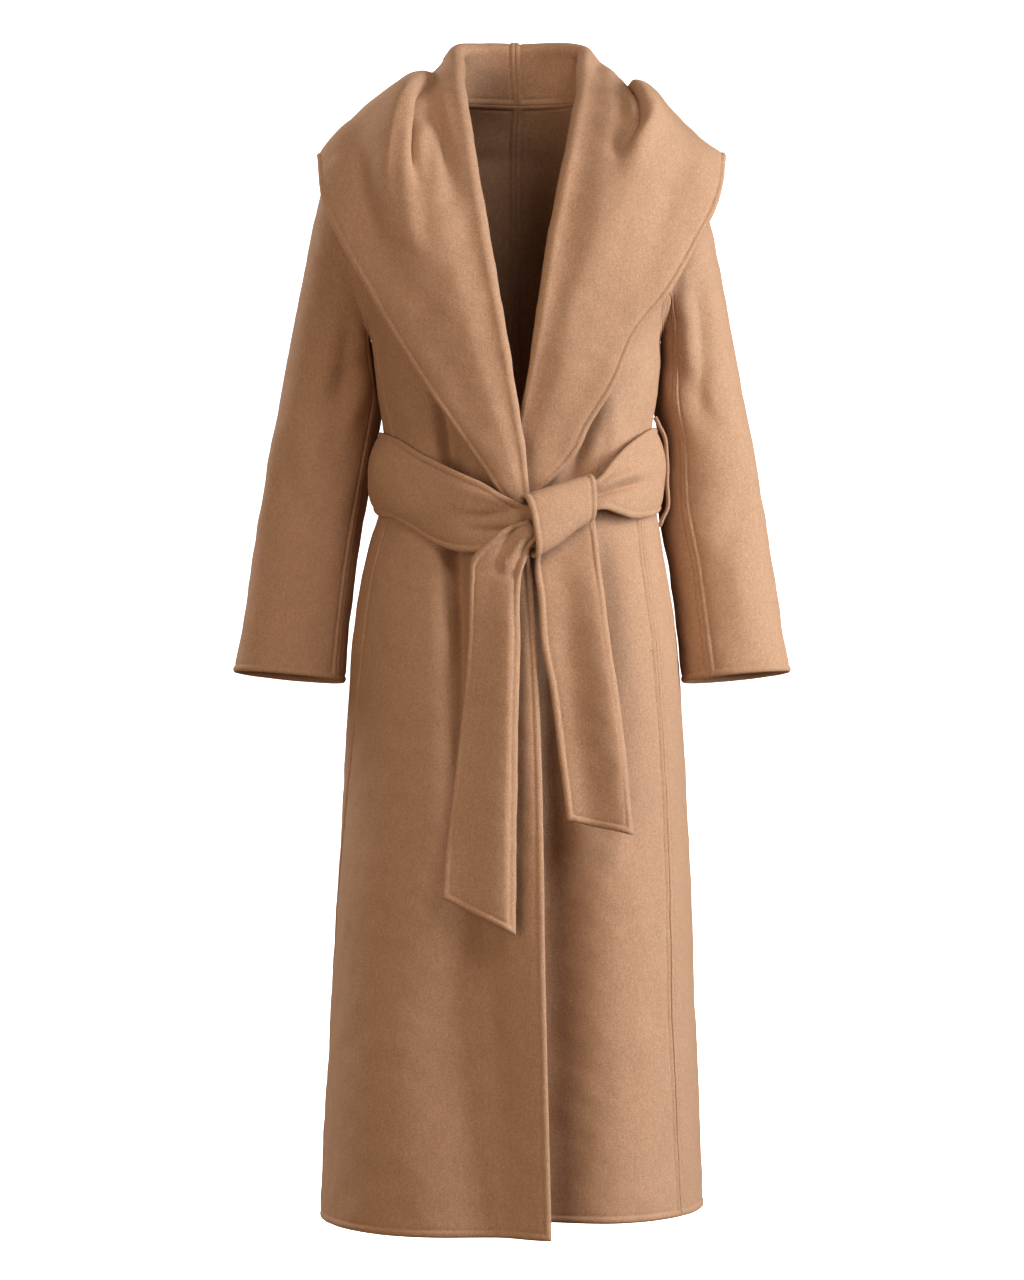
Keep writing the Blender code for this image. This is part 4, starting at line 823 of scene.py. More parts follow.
# Soft folds, each a row of stations along its line: where it runs, how high it stands in mm (a
# trough below nought), and how wide it is to its left and to its right. Lines and widths are in
# pixels of the photograph, which are 1.06 mm on the coat's middle plane. Folds of the back are
# placed as if seen through the coat, so the first number still grows towards +X.
PIXEL = 1.06 * MM
PHOTO_MIDDLE = (512, 640)
ARMPITS = (                     # the body falls in under each arm, across the side seam
    ((368, 345, 0, 4, 5), (373, 372, -2, 5, 5), (378, 400, -2, 5, 5), (382, 425, 0, 5, 5)),
    ((664, 350, 0, 5, 4), (661, 374, -2, 5, 5), (657, 400, -2, 5, 5), (653, 425, 0, 5, 5)),
)
FOLDS = {
    ("collar_right", "front"): (
        ((432, 67, 1, 9, 5), (419, 76, 4, 12, 5), (409, 88, 7, 15, 5), (402, 104, 9, 16, 6),
         (398, 122, 10, 17, 7), (394, 145, 10, 18, 8), (391, 170, 10, 19, 12), (393, 200, 9, 19, 16),
         (402, 226, 7, 20, 20), (416, 250, 4, 22, 24), (436, 285, 0, 24, 26)),  # lobe at the shoulder
        ((440, 64, -3, 2.5, 5), (429, 77, -10, 2.8, 8), (420, 92, -15, 3, 12), (416, 110, -16, 3, 14),
         (413, 128, -13, 3.2, 8), (412, 148, -10, 4, 7), (415, 168, -5, 6, 8), (422, 192, 0, 8, 9)),
        ((430, 100, 0, 9, 9), (437, 120, -7, 9, 7), (443, 138, -11, 9, 7), (448, 158, -9, 10, 8),
         (452, 182, -5, 12, 9), (456, 212, 0, 14, 12)),
        ((350, 128, 0, 12, 12), (357, 158, -3, 14, 14), (363, 190, -5, 15, 16), (370, 225, -5, 16, 18),
         (384, 265, -3, 18, 20), (402, 305, 0, 18, 20)),
        ((318, 160, 1, 20, 24), (331, 208, 7, 22, 30), (362, 272, 9, 22, 28), (400, 334, 9, 20, 24),
         (432, 388, 7, 18, 20), (460, 432, 4, 16, 16), (482, 466, 0, 14, 14)),  # outer edge stands off
    ),
    ("collar_left", "front"): (
        ((627, 79, 1, 4, 9), (640, 89, 5, 4, 12), (648, 101, 8, 4.5, 13), (649, 114, 9, 4.5, 14),
         (645, 127, 8, 5, 14), (637, 139, 5, 6, 14), (626, 151, 2, 8, 13), (616, 166, 0, 10, 13)),
        ((619, 75, -3, 4, 2.5), (630, 86, -9, 4, 2.5), (638, 97, -14, 5, 2.6), (641, 108, -15, 5, 2.6),
         (639, 119, -13, 7, 3), (632, 131, -9, 9, 4.5), (623, 142, -5, 10, 6), (612, 158, 0, 10, 8)),
        ((598, 66, 0, 10, 8), (609, 71, 5, 10, 7), (619, 76, 6, 9, 6), (628, 84, 3, 8, 6),
         (634, 94, 0, 8, 6)),
        ((640, 100, 0, 20, 8), (630, 124, -3, 18, 10), (618, 150, -4, 14, 12), (611, 176, -3, 13, 14),
         (608, 206, 0, 13, 16)),
        ((722, 168, 1, 24, 20), (706, 220, 7, 28, 22), (670, 288, 8, 26, 22), (634, 334, 8, 22, 20),
         (610, 386, 7, 18, 18), (586, 428, 4, 16, 16), (566, 466, 0, 14, 14)),
    ),
    ("front_right", "front"): ARMPITS[:1] + (
        ((429, 345, 0, 7, 8), (434, 385, -6, 6, 9), (441, 420, -14, 6, 14), (445, 462, -19, 8, 18),
         (449, 510, -22, 10, 14), (453, 560, -24, 12, 14), (456, 640, -22, 13, 14), (458, 720, -15, 16, 16),
         (460, 800, -8, 20, 20), (466, 880, -4, 24, 24), (470, 930, 0, 26, 26)),
        ((404, 372, 0, 12, 10), (411, 412, 4, 14, 11), (414, 440, 2, 15, 13), (414, 520, 2, 20, 15),
         (412, 570, 5, 24, 18), (410, 680, 6, 30, 22), (404, 820, 8, 44, 28), (396, 940, 12, 58, 34),
         (394, 1060, 14, 62, 36), (396, 1150, 12, 60, 38), (398, 1245, 9, 58, 38)),
        ((470, 820, 0, 50, 24), (475, 900, -16, 60, 26), (480, 980, -25, 68, 28), (486, 1060, -27, 70, 28),
         (491, 1140, -24, 72, 30), (496, 1245, -19, 72, 30)),
        ((526, 545, 2, 16, 12), (528, 620, 5, 16, 13), (532, 720, 6, 16, 13), (537, 820, 7, 16, 14),
         (542, 900, 8, 18, 14), (545, 1020, 9, 18, 15), (547, 1245, 7, 18, 16)),
    ),
    ("front_left", "front"): ARMPITS[1:] + (
        ((603, 380, 0, 12, 6), (597, 408, -6, 14, 7), (588, 432, -10, 14, 8), (580, 458, -12, 14, 9),
         (574, 490, -9, 14, 10), (566, 540, -6, 14, 12)),
        ((616, 390, 0, 8, 14), (614, 430, 4, 8, 14), (610, 470, 4, 8, 16), (604, 520, 0, 8, 18)),
        ((545, 500, -5, 60, 20), (545, 640, -9, 60, 24), (547, 760, -14, 60, 26), (549, 860, -20, 60, 36),
         (550, 1000, -24, 60, 46), (550, 1245, -22, 60, 46)),
        ((556, 540, 0, 60, 40), (558, 640, -5, 60, 48), (558, 800, -13, 60, 54), (558, 950, -23, 60, 62),
         (558, 1245, -20, 60, 62)),
        ((600, 525, 0, 12, 14), (600, 590, -8, 12, 16), (604, 680, -9, 12, 18), (606, 780, -6, 14, 20),
         (606, 860, 0, 16, 20)),
        ((470, 820, 0, 60, 24), (475, 900, -16, 66, 26), (480, 980, -25, 72, 28), (486, 1060, -27, 74, 28),
         (491, 1140, -24, 76, 30), (496, 1245, -19, 76, 30)),                   # follows the right front
    ),
    ("back_right", "front"): ARMPITS[:1], ("back_left", "front"): ARMPITS[1:],
    ("back_right", "back"): (
        ((463, 372, 0, 12, 14), (458, 410, -5, 10, 13), (456, 450, -8, 10, 12), (454, 520, -7, 11, 13),
         (448, 640, -6, 14, 16), (440, 800, -3, 18, 20), (436, 900, 0, 22, 24)),
        ((424, 372, 0, 9, 10), (426, 400, 4, 9, 10), (428, 430, 1, 9, 10), (428, 510, 1, 11, 12),
         (427, 545, 5, 12, 13), (421, 640, 4, 14, 17), (414, 740, 0, 18, 20)),
        ((488, 840, 0, 20, 22), (484, 950, 6, 24, 22), (480, 1080, 8, 26, 24), (476, 1235, 7, 28, 26)),
        ((404, 700, 0, 18, 20), (398, 850, -6, 20, 20), (392, 1020, -8, 22, 22), (386, 1235, -7, 24, 22)),
    ),
    ("back_left", "back"): (
        ((556, 380, 0, 12, 12), (561, 420, -5, 11, 10), (563, 460, -7, 11, 10), (565, 530, -6, 13, 12),
         (572, 660, -4, 16, 16), (580, 780, 0, 20, 20)),
        ((590, 372, 0, 10, 10), (592, 402, 4, 9, 9), (593, 430, 1, 9, 9), (595, 510, 1, 12, 11),
         (597, 550, 4, 12, 11), (602, 640, 0, 16, 15)),
        ((546, 800, 0, 20, 20), (551, 920, -7, 22, 22), (556, 1060, -9, 24, 24), (560, 1230, -8, 26, 24)),
        ((612, 760, 0, 18, 18), (618, 900, 6, 22, 20), (624, 1060, 8, 24, 22), (630, 1230, 7, 26, 22)),
    ),
    ("sleeve_left_upper", "front"): (
        ((694, 262, 0, 9, 10), (700, 300, -3.5, 8, 10), (703, 345, -5, 8, 11), (702, 390, -4, 9, 13),
         (700, 440, 0, 10, 15)),
        ((684, 290, 0, 7, 8), (687, 330, 3, 7, 8), (688, 372, 2, 7, 9), (690, 410, 0, 8, 10)),
        ((752, 470, 0, 14, 12), (742, 505, -2.5, 13, 12), (728, 532, -2.5, 12, 12), (714, 552, 0, 11, 12)),
        ((744, 640, 0, 12, 12), (741, 610, 1.5, 12, 12), (737, 570, 2, 12, 12), (730, 530, 0, 12, 12)),
    ),
    ("sleeve_right_upper", "front"): (
        ((350, 300, 0, 10, 10), (346, 340, -4, 10, 9), (342, 385, -5, 12, 9), (338, 430, -3, 13, 10),
         (332, 480, 0, 14, 12)),
        ((286, 470, 0, 12, 14), (298, 500, -2.5, 12, 13), (313, 525, -2.5, 12, 12), (328, 542, 0, 11, 11)),
        ((300, 400, 0, 12, 16), (304, 440, 3, 13, 16), (310, 490, 2, 13, 16), (312, 540, 0, 13, 16)),
    ),
    ("sleeve_left_upper", "back"): (
        ((676, 330, 0, 10, 10), (686, 372, -4, 10, 11), (700, 412, -4, 11, 12), (720, 452, 0, 12, 13)),
        ((690, 330, 0, 10, 10), (704, 370, 4, 11, 11), (722, 405, 3, 12, 12), (740, 430, 0, 12, 12)),
        ((690, 520, 0, 12, 12), (708, 548, -3, 12, 12), (735, 560, 0, 12, 12)),
    ),
    ("sleeve_right_upper", "back"): (
        ((352, 340, 0, 10, 10), (340, 380, -4, 11, 10), (324, 418, -4, 12, 11), (306, 446, 0, 12, 12)),
        ((336, 322, 0, 10, 10), (322, 362, 3.5, 11, 11), (306, 396, 3, 12, 12), (290, 420, 0, 12, 12)),
        ((340, 540, 0, 12, 12), (318, 566, -3, 12, 12), (292, 574, 0, 12, 12)),
    ),
    ("belt_waist", "front"): (
        ((524, 506, -2, 4, 5), (505, 512, -4, 5, 6), (484, 516, -4, 6, 7), (462, 514, -2.5, 7, 8),
         (438, 507, 0, 8, 9)),
        ((520, 499, 1, 4, 4), (498, 499, 3, 5, 5), (470, 493, 2.5, 7, 7), (440, 482, 0, 9, 9)),
        ((512, 530, -3, 4, 5), (494, 531, -4, 5, 5), (476, 530, -3, 6, 6), (452, 522, 0, 7, 7)),
        ((536, 514, 0, 9, 9), (527, 526, -6, 9, 9), (516, 540, -6, 9, 9), (506, 556, -4, 9, 9)),
        ((594, 496, -4, 4, 5), (608, 492, -7, 4, 6), (624, 487, -8, 4, 7), (640, 483, -5, 5, 7),
         (654, 478, 0, 6, 8)),
        ((594, 487, 1, 5, 4), (610, 482, 4, 7, 4), (630, 474, 4, 9, 5), (650, 466, 0, 10, 6)),
    ),
    ("belt_waist", "back"): (
        ((560, 462, 0, 8, 8), (500, 470, -2, 9, 9), (440, 466, 0, 8, 8)),
        ((600, 478, 0, 7, 7), (556, 486, 2, 8, 8), (520, 484, 0, 8, 8)),
    ),
    ("belt_tail_left", "front"): (
        ((529, 520, -3, 7, 6), (519, 527, -5, 7, 6), (509, 540, -5, 6, 5), (500, 556, -3, 5, 5),
         (494, 575, 0, 5, 5)),
        ((527, 536, 3, 3.5, 4), (519, 545, 4, 4, 4), (510, 558, 2.5, 4, 5), (503, 574, 0, 5, 6)),
        ((530, 548, -3, 3, 3), (522, 556, -3, 3.5, 4), (514, 570, -1.5, 4, 5), (508, 588, 0, 5, 6)),
        ((508, 575, 2, 28, 9), (509, 640, 9, 30, 9), (507, 740, 11, 32, 10), (505, 840, 12, 34, 10),
         (505, 940, 10, 34, 10)),
        ((470, 575, 0, 20, 22), (468, 640, -6, 20, 26), (461, 720, -8, 20, 30), (454, 800, -8, 20, 32),
         (446, 900, -6, 20, 34)),
    ),
    ("belt_tail_right", "front"): (
        ((560, 545, 0, 14, 15), (570, 620, -4, 16, 18), (580, 700, -5, 17, 18), (588, 780, -4, 17, 18),
         (594, 838, -3, 17, 18)),
        ((592, 540, 2, 18, 8), (599, 620, 9, 26, 8), (610, 700, 13, 30, 8), (620, 780, 13, 30, 8),
         (626, 838, 12, 30, 8)),
    ),
}
VIEW_SIGN = {"front": -1, "back": 1}    # of Y, where the cloth faces that view
FACING, COLLAR_FACING = (-0.1, 0.35), (-0.3, 0.1)       # a fold fades out where the cloth turns away
LINE_STEPS = 16                 # places on a fold's line for each span of its stations
FOLD_REACH = 2.6                # a fold ends at this many of its widths
STEP_LIMIT = 0.6                # how far the nearest place may lie from the nearest step on the line


def seen(points, view):
    """Where points show in a view, in the photograph's pixels."""
    away = 1 + points[:, 1] / -CAMERA_PLACE[1] if view == "front" else 1.0
    return np.stack([PHOTO_MIDDLE[0] + points[:, 0] / PIXEL / away,
                     PHOTO_MIDDLE[1] - (points[:, 2] - CAMERA_PLACE[2]) / PIXEL / away], axis=-1)


def fold_at(places, rows):
    """Height of one fold at each place."""
    line = Table("station u v height left right", [(k, *row) for k, row in enumerate(rows)])
    count = LINE_STEPS * (len(rows) - 1)
    u, v, height, left, right = line(spread(0, len(rows) - 1, count))
    path = np.stack([u, v], axis=-1)
    along = np.gradient(path, axis=0)
    reach = FOLD_REACH * max(left.max(), right.max())
    inside = (places > path.min(axis=0) - reach) & (places < path.max(axis=0) + reach)
    near = np.flatnonzero(np.all(inside, axis=1))
    found = np.zeros(len(places))
    if not len(near):
        return found
    off = places[near][:, None] - path[None]
    best = (off ** 2).sum(axis=-1).argmin(axis=1)
    off, ahead = off[np.arange(len(near)), best], along[best]
    step = np.clip((off * ahead).sum(axis=-1) / (ahead ** 2).sum(axis=-1), -STEP_LIMIT, STEP_LIMIT)
    off = off - ahead * step[:, None]
    _, _, height, left, right = line((best + step) * (len(rows) - 1) / count)
    width = np.where(ahead[:, 1] * off[:, 0] - ahead[:, 0] * off[:, 1] > 0, right, left)
    found[near] = height * np.exp(-(off ** 2).sum(axis=-1) / width ** 2)
    return found


def body_way(points):
    """Straight out of the body's skin, from a point's place alone, so that seams stay shut."""
    half_width, centre, front, back, _, _ = BODY(points[:, 2])
    depth = np.where(points[:, 1] < 0, front, back)
    out = np.stack([(points[:, 0] - centre) / half_width ** 2, points[:, 1] / depth ** 2], axis=-1)
    return np.concatenate([unit(out), np.zeros((len(points), 1))], axis=1)


def add_folds(cloth):
    """Moves a cloth's middle layer by its folds; a pocket bag follows its front's."""
    panel = cloth.name.startswith(("front", "back", "pocket"))
    way = body_way(cloth.points) if panel else cloth.normals
    if cloth.name.startswith("collar"):     # its wrong side is outside, above the roll
        way = -way
    height = np.zeros(len(cloth.points))
    followed = cloth.name.replace("pocket_bag", "front")
    for (name, view), folds in FOLDS.items():
        if name != followed:
            continue
        span = COLLAR_FACING if name.startswith("collar") else FACING
        facing = ease(VIEW_SIGN[view] * way[:, 1], *span)
        places = seen(cloth.points, view)
        for rows in folds:
            height += fold_at(places, rows) * facing
    cloth.points = cloth.points + way * (height * MM)[:, None]
    cloth.measure()
    return cloth


# ------------------------------------------------------------------ body panels

BREAK_EASE = 0.012              # height over which the front's turned edge runs into the collar seam


def armhole(turn):
    """Angle and height on the armhole: turn 0 is the shoulder tip, 90 the front, 180 the bottom."""
    turn = np.radians(np.asarray(turn, float))
    return np.stack([SHOULDER_TIP[0] - ARMHOLE_HALF_ANGLE * np.sin(turn),
                     ARMHOLE_CENTRE_Z + ARMHOLE_HALF_HEIGHT * np.cos(turn)], axis=-1)


def side_seam(side, z):
    right, left = SIDE_SEAM(z)
    return np.stack([left if side == "left" else right, z], axis=-1)


def front(side):
    table = NECK_LINE[side]
    stations = spread(BREAK_STATION, NECK_STATION, 400)
    heights = table(stations)[1]
    low = spread(HEM_Z[side], heights[0], 200)
    middle = spread(heights[0], ARMHOLE_FOOT_Z, 66)[1:]
    reached = np.interp(middle, heights, stations)
    high = spread(reached[-1], NECK_STATION, 56)[1:]
    edge_angle = SIDES[side] * front_angle(FRONT_EDGE[side](low)[0], low)
    inner = np.concatenate([np.stack([edge_angle, low], axis=-1),
                            np.stack(table(np.concatenate([reached, high])), axis=-1)])
    outer = np.concatenate([side_seam(side, np.concatenate([low, middle])),
                            armhole(spread(SIDE_SEAM_TURN, 0, 56)[1:])])
    columns = spread(0, 1, 90)
    grid = coons(line_between(inner[0], outer[0], columns),
                 line_between(NECK_POINT, SHOULDER_TIP, columns), inner, outer)
    points = refine(body(SIDES[side] * grid[..., 0], grid[..., 1], lapped=side == "right"))
    turned = 1 - ease(points[:, 0, 2], heights[0] - BREAK_EASE, heights[0])
    return Cloth("front_" + side, [Grid(points, low=1, high=0, first=turned, last=0)], flip=side == "right")


def back(side):
    sign = SIDES[side]
    under = armhole(spread(SIDE_SEAM_TURN, LEVEL_TURN, 16))
    level_z = under[-1][1]
    level = line_between(under[-1], (180.0, level_z), spread(0, 1, 80))
    neck = np.stack(NECK_LINE[side](spread(NECK_STATION, 0, 50)), axis=-1)
    top = np.concatenate([line_between(SHOULDER_TIP, NECK_POINT, spread(0, 1, 30)), neck[1:]])
    spine = line_between((180.0, level_z), neck[-1], spread(0, 1, 80))
    upper = coons(level, top, armhole(spread(LEVEL_TURN, 360, 80)), spine)
    upper = refine(body(sign * upper[..., 0], upper[..., 1]), low=PLAIN, cell=BACK_CELL)
    heights = spread(HEM_Z[side], ARMHOLE_FOOT_Z, 240)
    middle = line_between((180.0, HEM_BACK_Z), (180.0, level_z), spread(0, 1, 240))
    join = np.concatenate([under, level[1:]])
    outer = side_seam(side, heights)
    lower = coons(line_between(outer[0], middle[0], spread(0, 1, len(join) - 1)), join, outer, middle)
    lower = join_below(body(sign * lower[..., 0], lower[..., 1]), upper, len(under) - 1)
    free_of_arm = np.full(lower.shape[1], np.nan)
    free_of_arm[:lower.shape[1] - upper.shape[1] + 1] = 0
    grids = [Grid(lower, low=1, high=free_of_arm, first=0, last=0), Grid(upper, high=0, first=0, last=0)]
    return Cloth("back_" + side, grids, flip=side == "right")


def join_below(dense, upper, under_spans):
    """Refined lower part of the back, whose highest row holds the upper part's lowest one."""
    dense = place_rows(dense, stops(runs(dense)[-1], WORKED, WORKED, BACK_CELL))
    dense = swap(dense)
    lengths = runs(dense)[-1]
    under = runs(dense)[under_spans, -1]
    level = runs(swap(upper))[:, 0]
    arm_stops = np.arange(WORKED[-1] + BACK_CELL, under - BACK_CELL / 2, BACK_CELL)
    arm_stops = np.concatenate([WORKED, arm_stops])
    at_top = np.concatenate([arm_stops, under + level])
    ends, count = len(WORKED), len(at_top)
    free = lengths - 2 * WORKED[-1]
    at_top = (at_top[ends - 1:count - ends + 1] - WORKED[-1]) / free[-1]
    even = spread(0, 1, len(at_top) - 1)
    rise = (np.arange(len(lengths)) / (len(lengths) - 1)) ** 4
    between = WORKED[-1] + free * (even[:, None] + (at_top - even)[:, None] * rise)
    at = np.concatenate([WORKED[:-1, None] + 0 * lengths, between, lengths - WORKED[-2::-1, None]])
    lower = swap(place_rows(dense, at))
    lower[-1, len(arm_stops):] = upper[0]
    return lower


# ------------------------------------------------------------------ sleeves, collar and belt

def sleeve(side):
    forward = FORWARD_SEAM_TURN[side]
    pieces = []
    for part, start, end, columns in (("upper", BACK_SEAM_TURN - 360, forward, 130),
                                      ("under", forward, BACK_SEAM_TURN, 50)):
        points = refine(sleeve_points(side, spread(start, end, columns), spread(0, 10, 240)))
        grid = Grid(points, low=0, high=1, first=0, last=0)
        pieces.append(Cloth(f"sleeve_{side}_{part}", [grid], flip=side == "right"))
    return pieces


def collar(side):
    stations = spread(0, BREAK_STATION, 280)
    points = refine(collar_grid(side, stations, 16, 10, 64), last=PLAIN, cell=COLLAR_CELL[0],
                    wide=COLLAR_CELL[1])
    return Cloth("collar_" + side, [Grid(points, low=0, high=1, first=0)], flip=side == "left")


def belt_waist():
    points = belt_points(spread(0, 11, 340), spread(0, 1, 40))
    points = refine(points, low=PLAIN, high=PLAIN, cell=BELT_CELL)
    return Cloth("belt_waist", [Grid(points, first=1, last=1)], flip=True)


def belt_knot():
    points = refine(knot_points(spread(0, 1, 40), spread(0, 360, 120)), first=PLAIN, last=PLAIN,
                    cell=BELT_CELL)
    points[:, -1] = points[:, 0]
    return Cloth("belt_knot", [Grid(points, low=1, high=1)])


def belt_tail(side):
    table = TAIL[side]
    heights = spread(table.places[0], table.places[-1], 160)
    points = refine(tail_points(side, heights, spread(0, 1, 40)), high=PLAIN, cell=BELT_CELL)
    return Cloth("belt_tail_" + side, [Grid(points, low=1, first=1, last=1)])


def belt_loop(side):
    marks = spread(LOOP.places[0], LOOP.places[-1], 60)
    z, part = (column[:, None] for column in LOOP(marks))
    lift = WALL + SEAM_GAP + LOOP_REACH[side] * part
    angles = LOOP_ANGLE[side] + spread(-LOOP_HALF_ANGLE, LOOP_HALF_ANGLE, 12)[None, :]
    points = refine(body(angles, z, lift=lift), low=PLAIN, high=PLAIN, cell=LOOP_CELL)
    return Cloth("belt_loop_" + side, [Grid(points, first=1, last=1)], flip=True)


def pocket_bag(side):
    up, across = np.meshgrid(spread(0, 1, 60), spread(0, 1, 40), indexing="ij")
    z = POCKET_BOTTOM + (POCKET_TOP - POCKET_BOTTOM) * up + POCKET_ROUND * (1 - up) * (2 * across - 1) ** 2
    seam = side_seam(side, z)[..., 0]
    angle = seam - POCKET_SEAM - POCKET_REACH * across * (1 - POCKET_TAPER * (1 - up))
    stand_in = POCKET_EASE * np.sin(np.pi * up) * np.sin(np.pi * across)
    points = refine(body(SIDES[side] * angle, z, lift=-(WALL + POCKET_GAP + stand_in)))
    grid = Grid(points, low=1, high=1, first=1, last=1)
    return Cloth("pocket_bag_" + side, [grid], flip=side == "left")


TACK_Z = -0.583                 # a bar tack closes the foot of each pocket's opening
TACK_START, TACK_END = 0.8, 4.4     # angles from the side seam
TACK_RADIUS = 0.0008
TACK_STITCHES = 9


def bar_tack(side, material):
    """A short row of close stitches across the front, at the foot of the pocket's opening."""
    seam = float(side_seam(side, np.array([TACK_Z]))[0, 0])
    part = spread(0, 1, 8 * TACK_STITCHES)
    angles = SIDES[side] * (seam - TACK_START - (TACK_END - TACK_START) * part)
    line = body(angles, TACK_Z, lift=WALL / 2 + 0.3 * MM)
    out = unit(line * [1, 1, 0] - [0, 0.02, 0])
    radius = TACK_RADIUS * np.sqrt(np.sin(np.pi * np.clip(part, 0.04, 0.96)))
    radius = radius * (0.8 + 0.2 * np.abs(np.sin(np.pi * TACK_STITCHES * part)))
    swing = spread(0, 2 * np.pi, 12)[:-1]
    rings = line[:, None] + radius[:, None, None] * (
        out[:, None] * np.cos(swing)[None, :, None] + np.array([0, 0, 1]) * np.sin(swing)[None, :, None])
    count = len(swing)
    ids = np.arange(rings.shape[0] * count).reshape(rings.shape[0], count)
    ids = np.concatenate([ids, ids[:, :1]], axis=1)
    thing = mesh_object("bar_tack_" + side, rings.reshape(-1, 3), quads_of(ids), material)
    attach(thing, "root")
    return thing


# ------------------------------------------------------------------ materials

def noise(nodes, links, coordinates, scale, detail, stretch=None):
    """Fractal noise on the object's own metres, with an optional stretch of its axes."""
    texture = nodes.new("ShaderNodeTexNoise")
    texture.inputs["Scale"].default_value = scale
    texture.inputs["Detail"].default_value = detail
    if stretch:
        mapping = nodes.new("ShaderNodeMapping")
        mapping.inputs["Scale"].default_value = stretch
        links.new(coordinates, mapping.inputs["Vector"])
        coordinates = mapping.outputs["Vector"]
    links.new(coordinates, texture.inputs["Vector"])
    return texture.outputs["Fac"]


def weighted(nodes, links, parts):
    """Sum of (factor, weight) pairs."""
    total = None
    for factor, weight in parts:
        scaled = nodes.new("ShaderNodeMath")
        scaled.operation = "MULTIPLY_ADD"
        scaled.inputs[1].default_value = weight
        links.new(factor, scaled.inputs[0])
        if total is None:
            scaled.inputs[2].default_value = 0.0
        else:
            links.new(total, scaled.inputs[2])
        total = scaled.outputs[0]
    return total


def ramp(nodes, links, factor, stops):
    node = nodes.new("ShaderNodeValToRGB")
    node.color_ramp.elements[0].position, node.color_ramp.elements[0].color = stops[0]
    node.color_ramp.elements[1].position, node.color_ramp.elements[1].color = stops[-1]
    for position, colour in stops[1:-1]:
        node.color_ramp.elements.new(position).color = colour
    links.new(factor, node.inputs["Fac"])
    return node.outputs["Color"]


def fabric(name):
    """A new material with its nodes, links and shader, and the object's own metres."""
    material = bpy.data.materials.new(name)
    material.use_nodes = True
    nodes, links = material.node_tree.nodes, material.node_tree.links
    place = nodes.new("ShaderNodeTexCoord").outputs["Object"]
    return material, nodes, links, nodes["Principled BSDF"], place


def roughen(nodes, links, shader, height, strength, distance):
    """Bump of the shader's surface by a height."""
    bump = nodes.new("ShaderNodeBump")
    bump.inputs["Strength"].default_value, bump.inputs["Distance"].default_value = strength, distance
    links.new(height, bump.inputs["Height"])
    links.new(bump.outputs["Normal"], shader.inputs["Normal"])


def wool():
    """Brushed camel wool: fine mottled nap that lies downward, with a soft sheen."""
    material, nodes, links, shader, place = fabric("brushed_camel_wool")
    grain = noise(nodes, links, place, 620, 3)
    fleck = noise(nodes, links, place, 1500, 2)
    streak = noise(nodes, links, place, 330, 2, stretch=(1, 1, 0.3))
    mottle = noise(nodes, links, place, 210, 2)
    cloud = noise(nodes, links, place, 26, 3)
    tone = weighted(nodes, links, [
        (grain, 0.52), (fleck, 0.24), (streak, 0.12), (mottle, 0.06), (cloud, 0.06)])
    colour = ramp(nodes, links, tone, [
        (.33, (.39, .248, .165, 1)), (.5, (.5, .328, .226, 1)),
        (0.67, (0.610, 0.415, 0.300, 1))])
    links.new(colour, shader.inputs["Base Color"])
    rough = nodes.new("ShaderNodeMapRange")
    rough.inputs["To Min"].default_value, rough.inputs["To Max"].default_value = 0.75, 0.97
    links.new(tone, rough.inputs["Value"])
    links.new(rough.outputs["Result"], shader.inputs["Roughness"])
    shader.inputs["Specular IOR Level"].default_value = 0.25
    shader.inputs["Sheen Weight"].default_value = 0.25
    shader.inputs["Sheen Roughness"].default_value = 0.5
    shader.inputs["Sheen Tint"].default_value = (1.0, 0.80, 0.62, 1)
    nap = weighted(nodes, links, [(grain, 0.45), (fleck, 0.15), (streak, 0.25), (mottle, 0.15)])
    roughen(nodes, links, shader, nap, strength=0.6, distance=0.0009)
    return material


def twill():
    """Taupe cotton twill of the pocket bags, with fine slanting ribs."""
    material, nodes, links, shader, place = fabric("taupe_pocket_twill")
    ribs = nodes.new("ShaderNodeTexWave")
    ribs.bands_direction = "DIAGONAL"
    ribs.inputs["Scale"].default_value = 320
    ribs.inputs["Distortion"].default_value = 0.6
    links.new(place, ribs.inputs["Vector"])
    fibre = noise(nodes, links, place, 900, 2)
    tone = weighted(nodes, links, [(ribs.outputs["Fac"], 0.6), (fibre, 0.4)])
    colour = ramp(nodes, links, tone, [(0.2, (0.22, 0.15, 0.10, 1)), (0.8, (0.36, 0.26, 0.18, 1))])
    links.new(colour, shader.inputs["Base Color"])
    shader.inputs["Roughness"].default_value = 0.8
    roughen(nodes, links, shader, tone, strength=0.4, distance=0.0003)
    return material


# ------------------------------------------------------------------ stage, lights and camera

CAMERA_LENS = 111.4
FLOOR_Z = -1.32
FLOOR_SIZE = 60.0
DOME_RADIUS = 40.0


def stage_material(name, colour, glow):
    material = bpy.data.materials.new(name)
    material.use_nodes = True
    shader = material.node_tree.nodes["Principled BSDF"]
    shader.inputs["Base Color"].default_value = (*colour, 1)
    shader.inputs["Roughness"].default_value = 0.9
    shader.inputs["Emission Color"].default_value = (1, 1, 1, 1)
    shader.inputs["Emission Strength"].default_value = glow
    return material


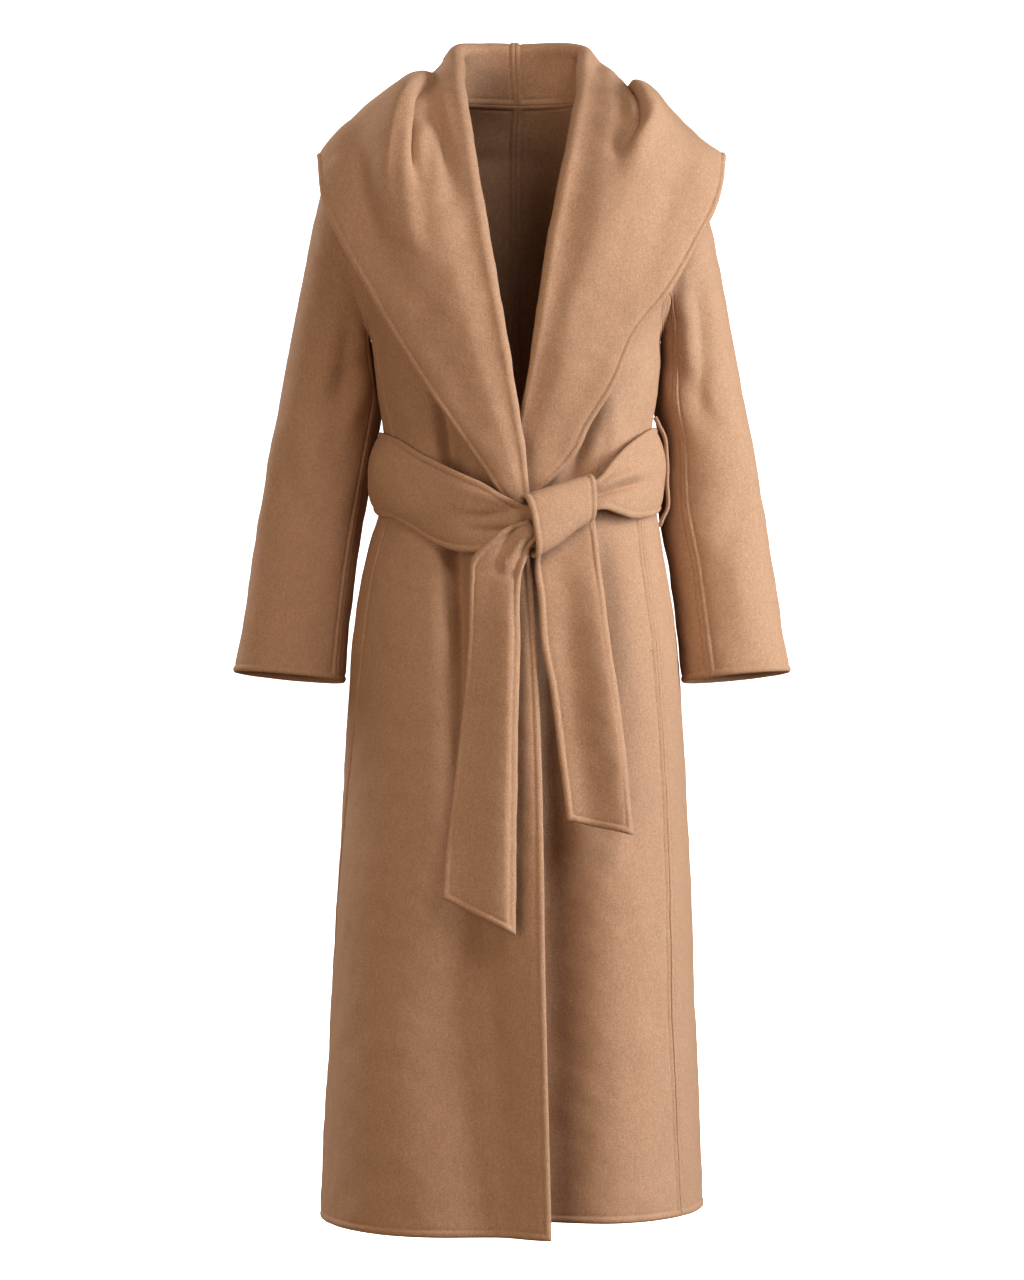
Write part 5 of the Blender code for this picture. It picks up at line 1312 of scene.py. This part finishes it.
def stage():
    """A plain white floor and surround that only the camera sees, so neither lights the coat."""
    bpy.ops.mesh.primitive_circle_add(vertices=96, radius=FLOOR_SIZE / 2, fill_type="NGON",
                                      location=(0, 0, FLOOR_Z))
    floor = bpy.context.object
    floor.name = "stage_floor"
    floor.data.materials.append(stage_material("pale_floor", (0.9, 0.9, 0.9), 1.6))
    bpy.ops.mesh.primitive_uv_sphere_add(segments=64, ring_count=32, radius=DOME_RADIUS,
                                         location=(0, 0, FLOOR_Z))
    dome = bpy.context.object
    dome.name = "stage_surround"
    dome.data.materials.append(stage_material("pale_surround", (0, 0, 0), 1.6))
    for thing in (floor, dome):
        thing.visible_diffuse = thing.visible_glossy = thing.visible_transmission = False
        thing.visible_shadow = False


def area_light(name, place, target, size, power, colour):
    data = bpy.data.lights.new(name, "AREA")
    data.shape, data.size, data.size_y = "RECTANGLE", size[0], size[1]
    data.energy, data.color = power, colour
    lamp = bpy.data.objects.new(name, data)
    bpy.context.scene.collection.objects.link(lamp)
    lamp.location = place
    way = Vector(target) - Vector(place)
    lamp.rotation_euler = way.to_track_quat("-Z", "Y").to_euler()


def studio():
    world = bpy.data.worlds.new("studio")
    world.use_nodes = True
    glow = world.node_tree.nodes["Background"].inputs
    glow["Color"].default_value, glow["Strength"].default_value = (1.0, 0.68, 0.42, 1), 0.17
    bpy.context.scene.world = world
    area_light("key", (2.5, -0.85, 0.0), (0.1, 0, -0.5), (0.8, 2.2), 87, (0.98, 1.0, 1.0))
    area_light("front", (1.3, -2.5, 1.7), (0, 0, -0.45), (1.4, 1.4), 36, (1.0, 0.94, 0.87))
    area_light("fill", (-2.0, -3.1, -0.4), (0, 0, -0.8), (2.0, 2.4), 48, (1.0, 0.80, 0.62))
    area_light("back", (-2.4, 2.2, 0.9), (0, 0, -0.5), (1.2, 2.2), 70, (1.0, 1.0, 1.0))
    settings = bpy.context.scene.view_settings
    settings.view_transform, settings.look = "Standard", "None"
    settings.exposure, settings.gamma = 0.0, 0.85
    data = bpy.data.cameras.new("camera")
    data.lens, data.sensor_width = CAMERA_LENS, 36.0
    camera = bpy.data.objects.new("camera", data)
    camera.location, camera.rotation_euler = CAMERA_PLACE, (np.pi / 2, 0, 0)
    bpy.context.scene.collection.objects.link(camera)
    bpy.context.scene.camera = camera


# ------------------------------------------------------------------ assembly


def declare(thing, cloth):
    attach(thing, "root")
    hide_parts(cloth.name)


def main():
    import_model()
    studio()
    stage()
    sewn = []
    for side in SIDES:
        sewn += [front(side), back(side), *sleeve(side), collar(side)]
    mitre([add_folds(cloth) for cloth in sewn])
    loose = [belt_waist(), belt_knot()]
    for side in SIDES:
        loose += [belt_tail(side), belt_loop(side)]
    loose = [add_folds(cloth) for cloth in loose]
    camel, cotton = wool(), twill()
    bags = [add_folds(pocket_bag(side)) for side in SIDES]
    made = [(cloth, wall_object(cloth, camel)) for cloth in sewn + loose]
    made += [(cloth, wall_object(cloth, cotton)) for cloth in bags]
    for cloth, thing in made:
        declare(thing, cloth)
    for side in SIDES:
        bar_tack(side, camel)


main()
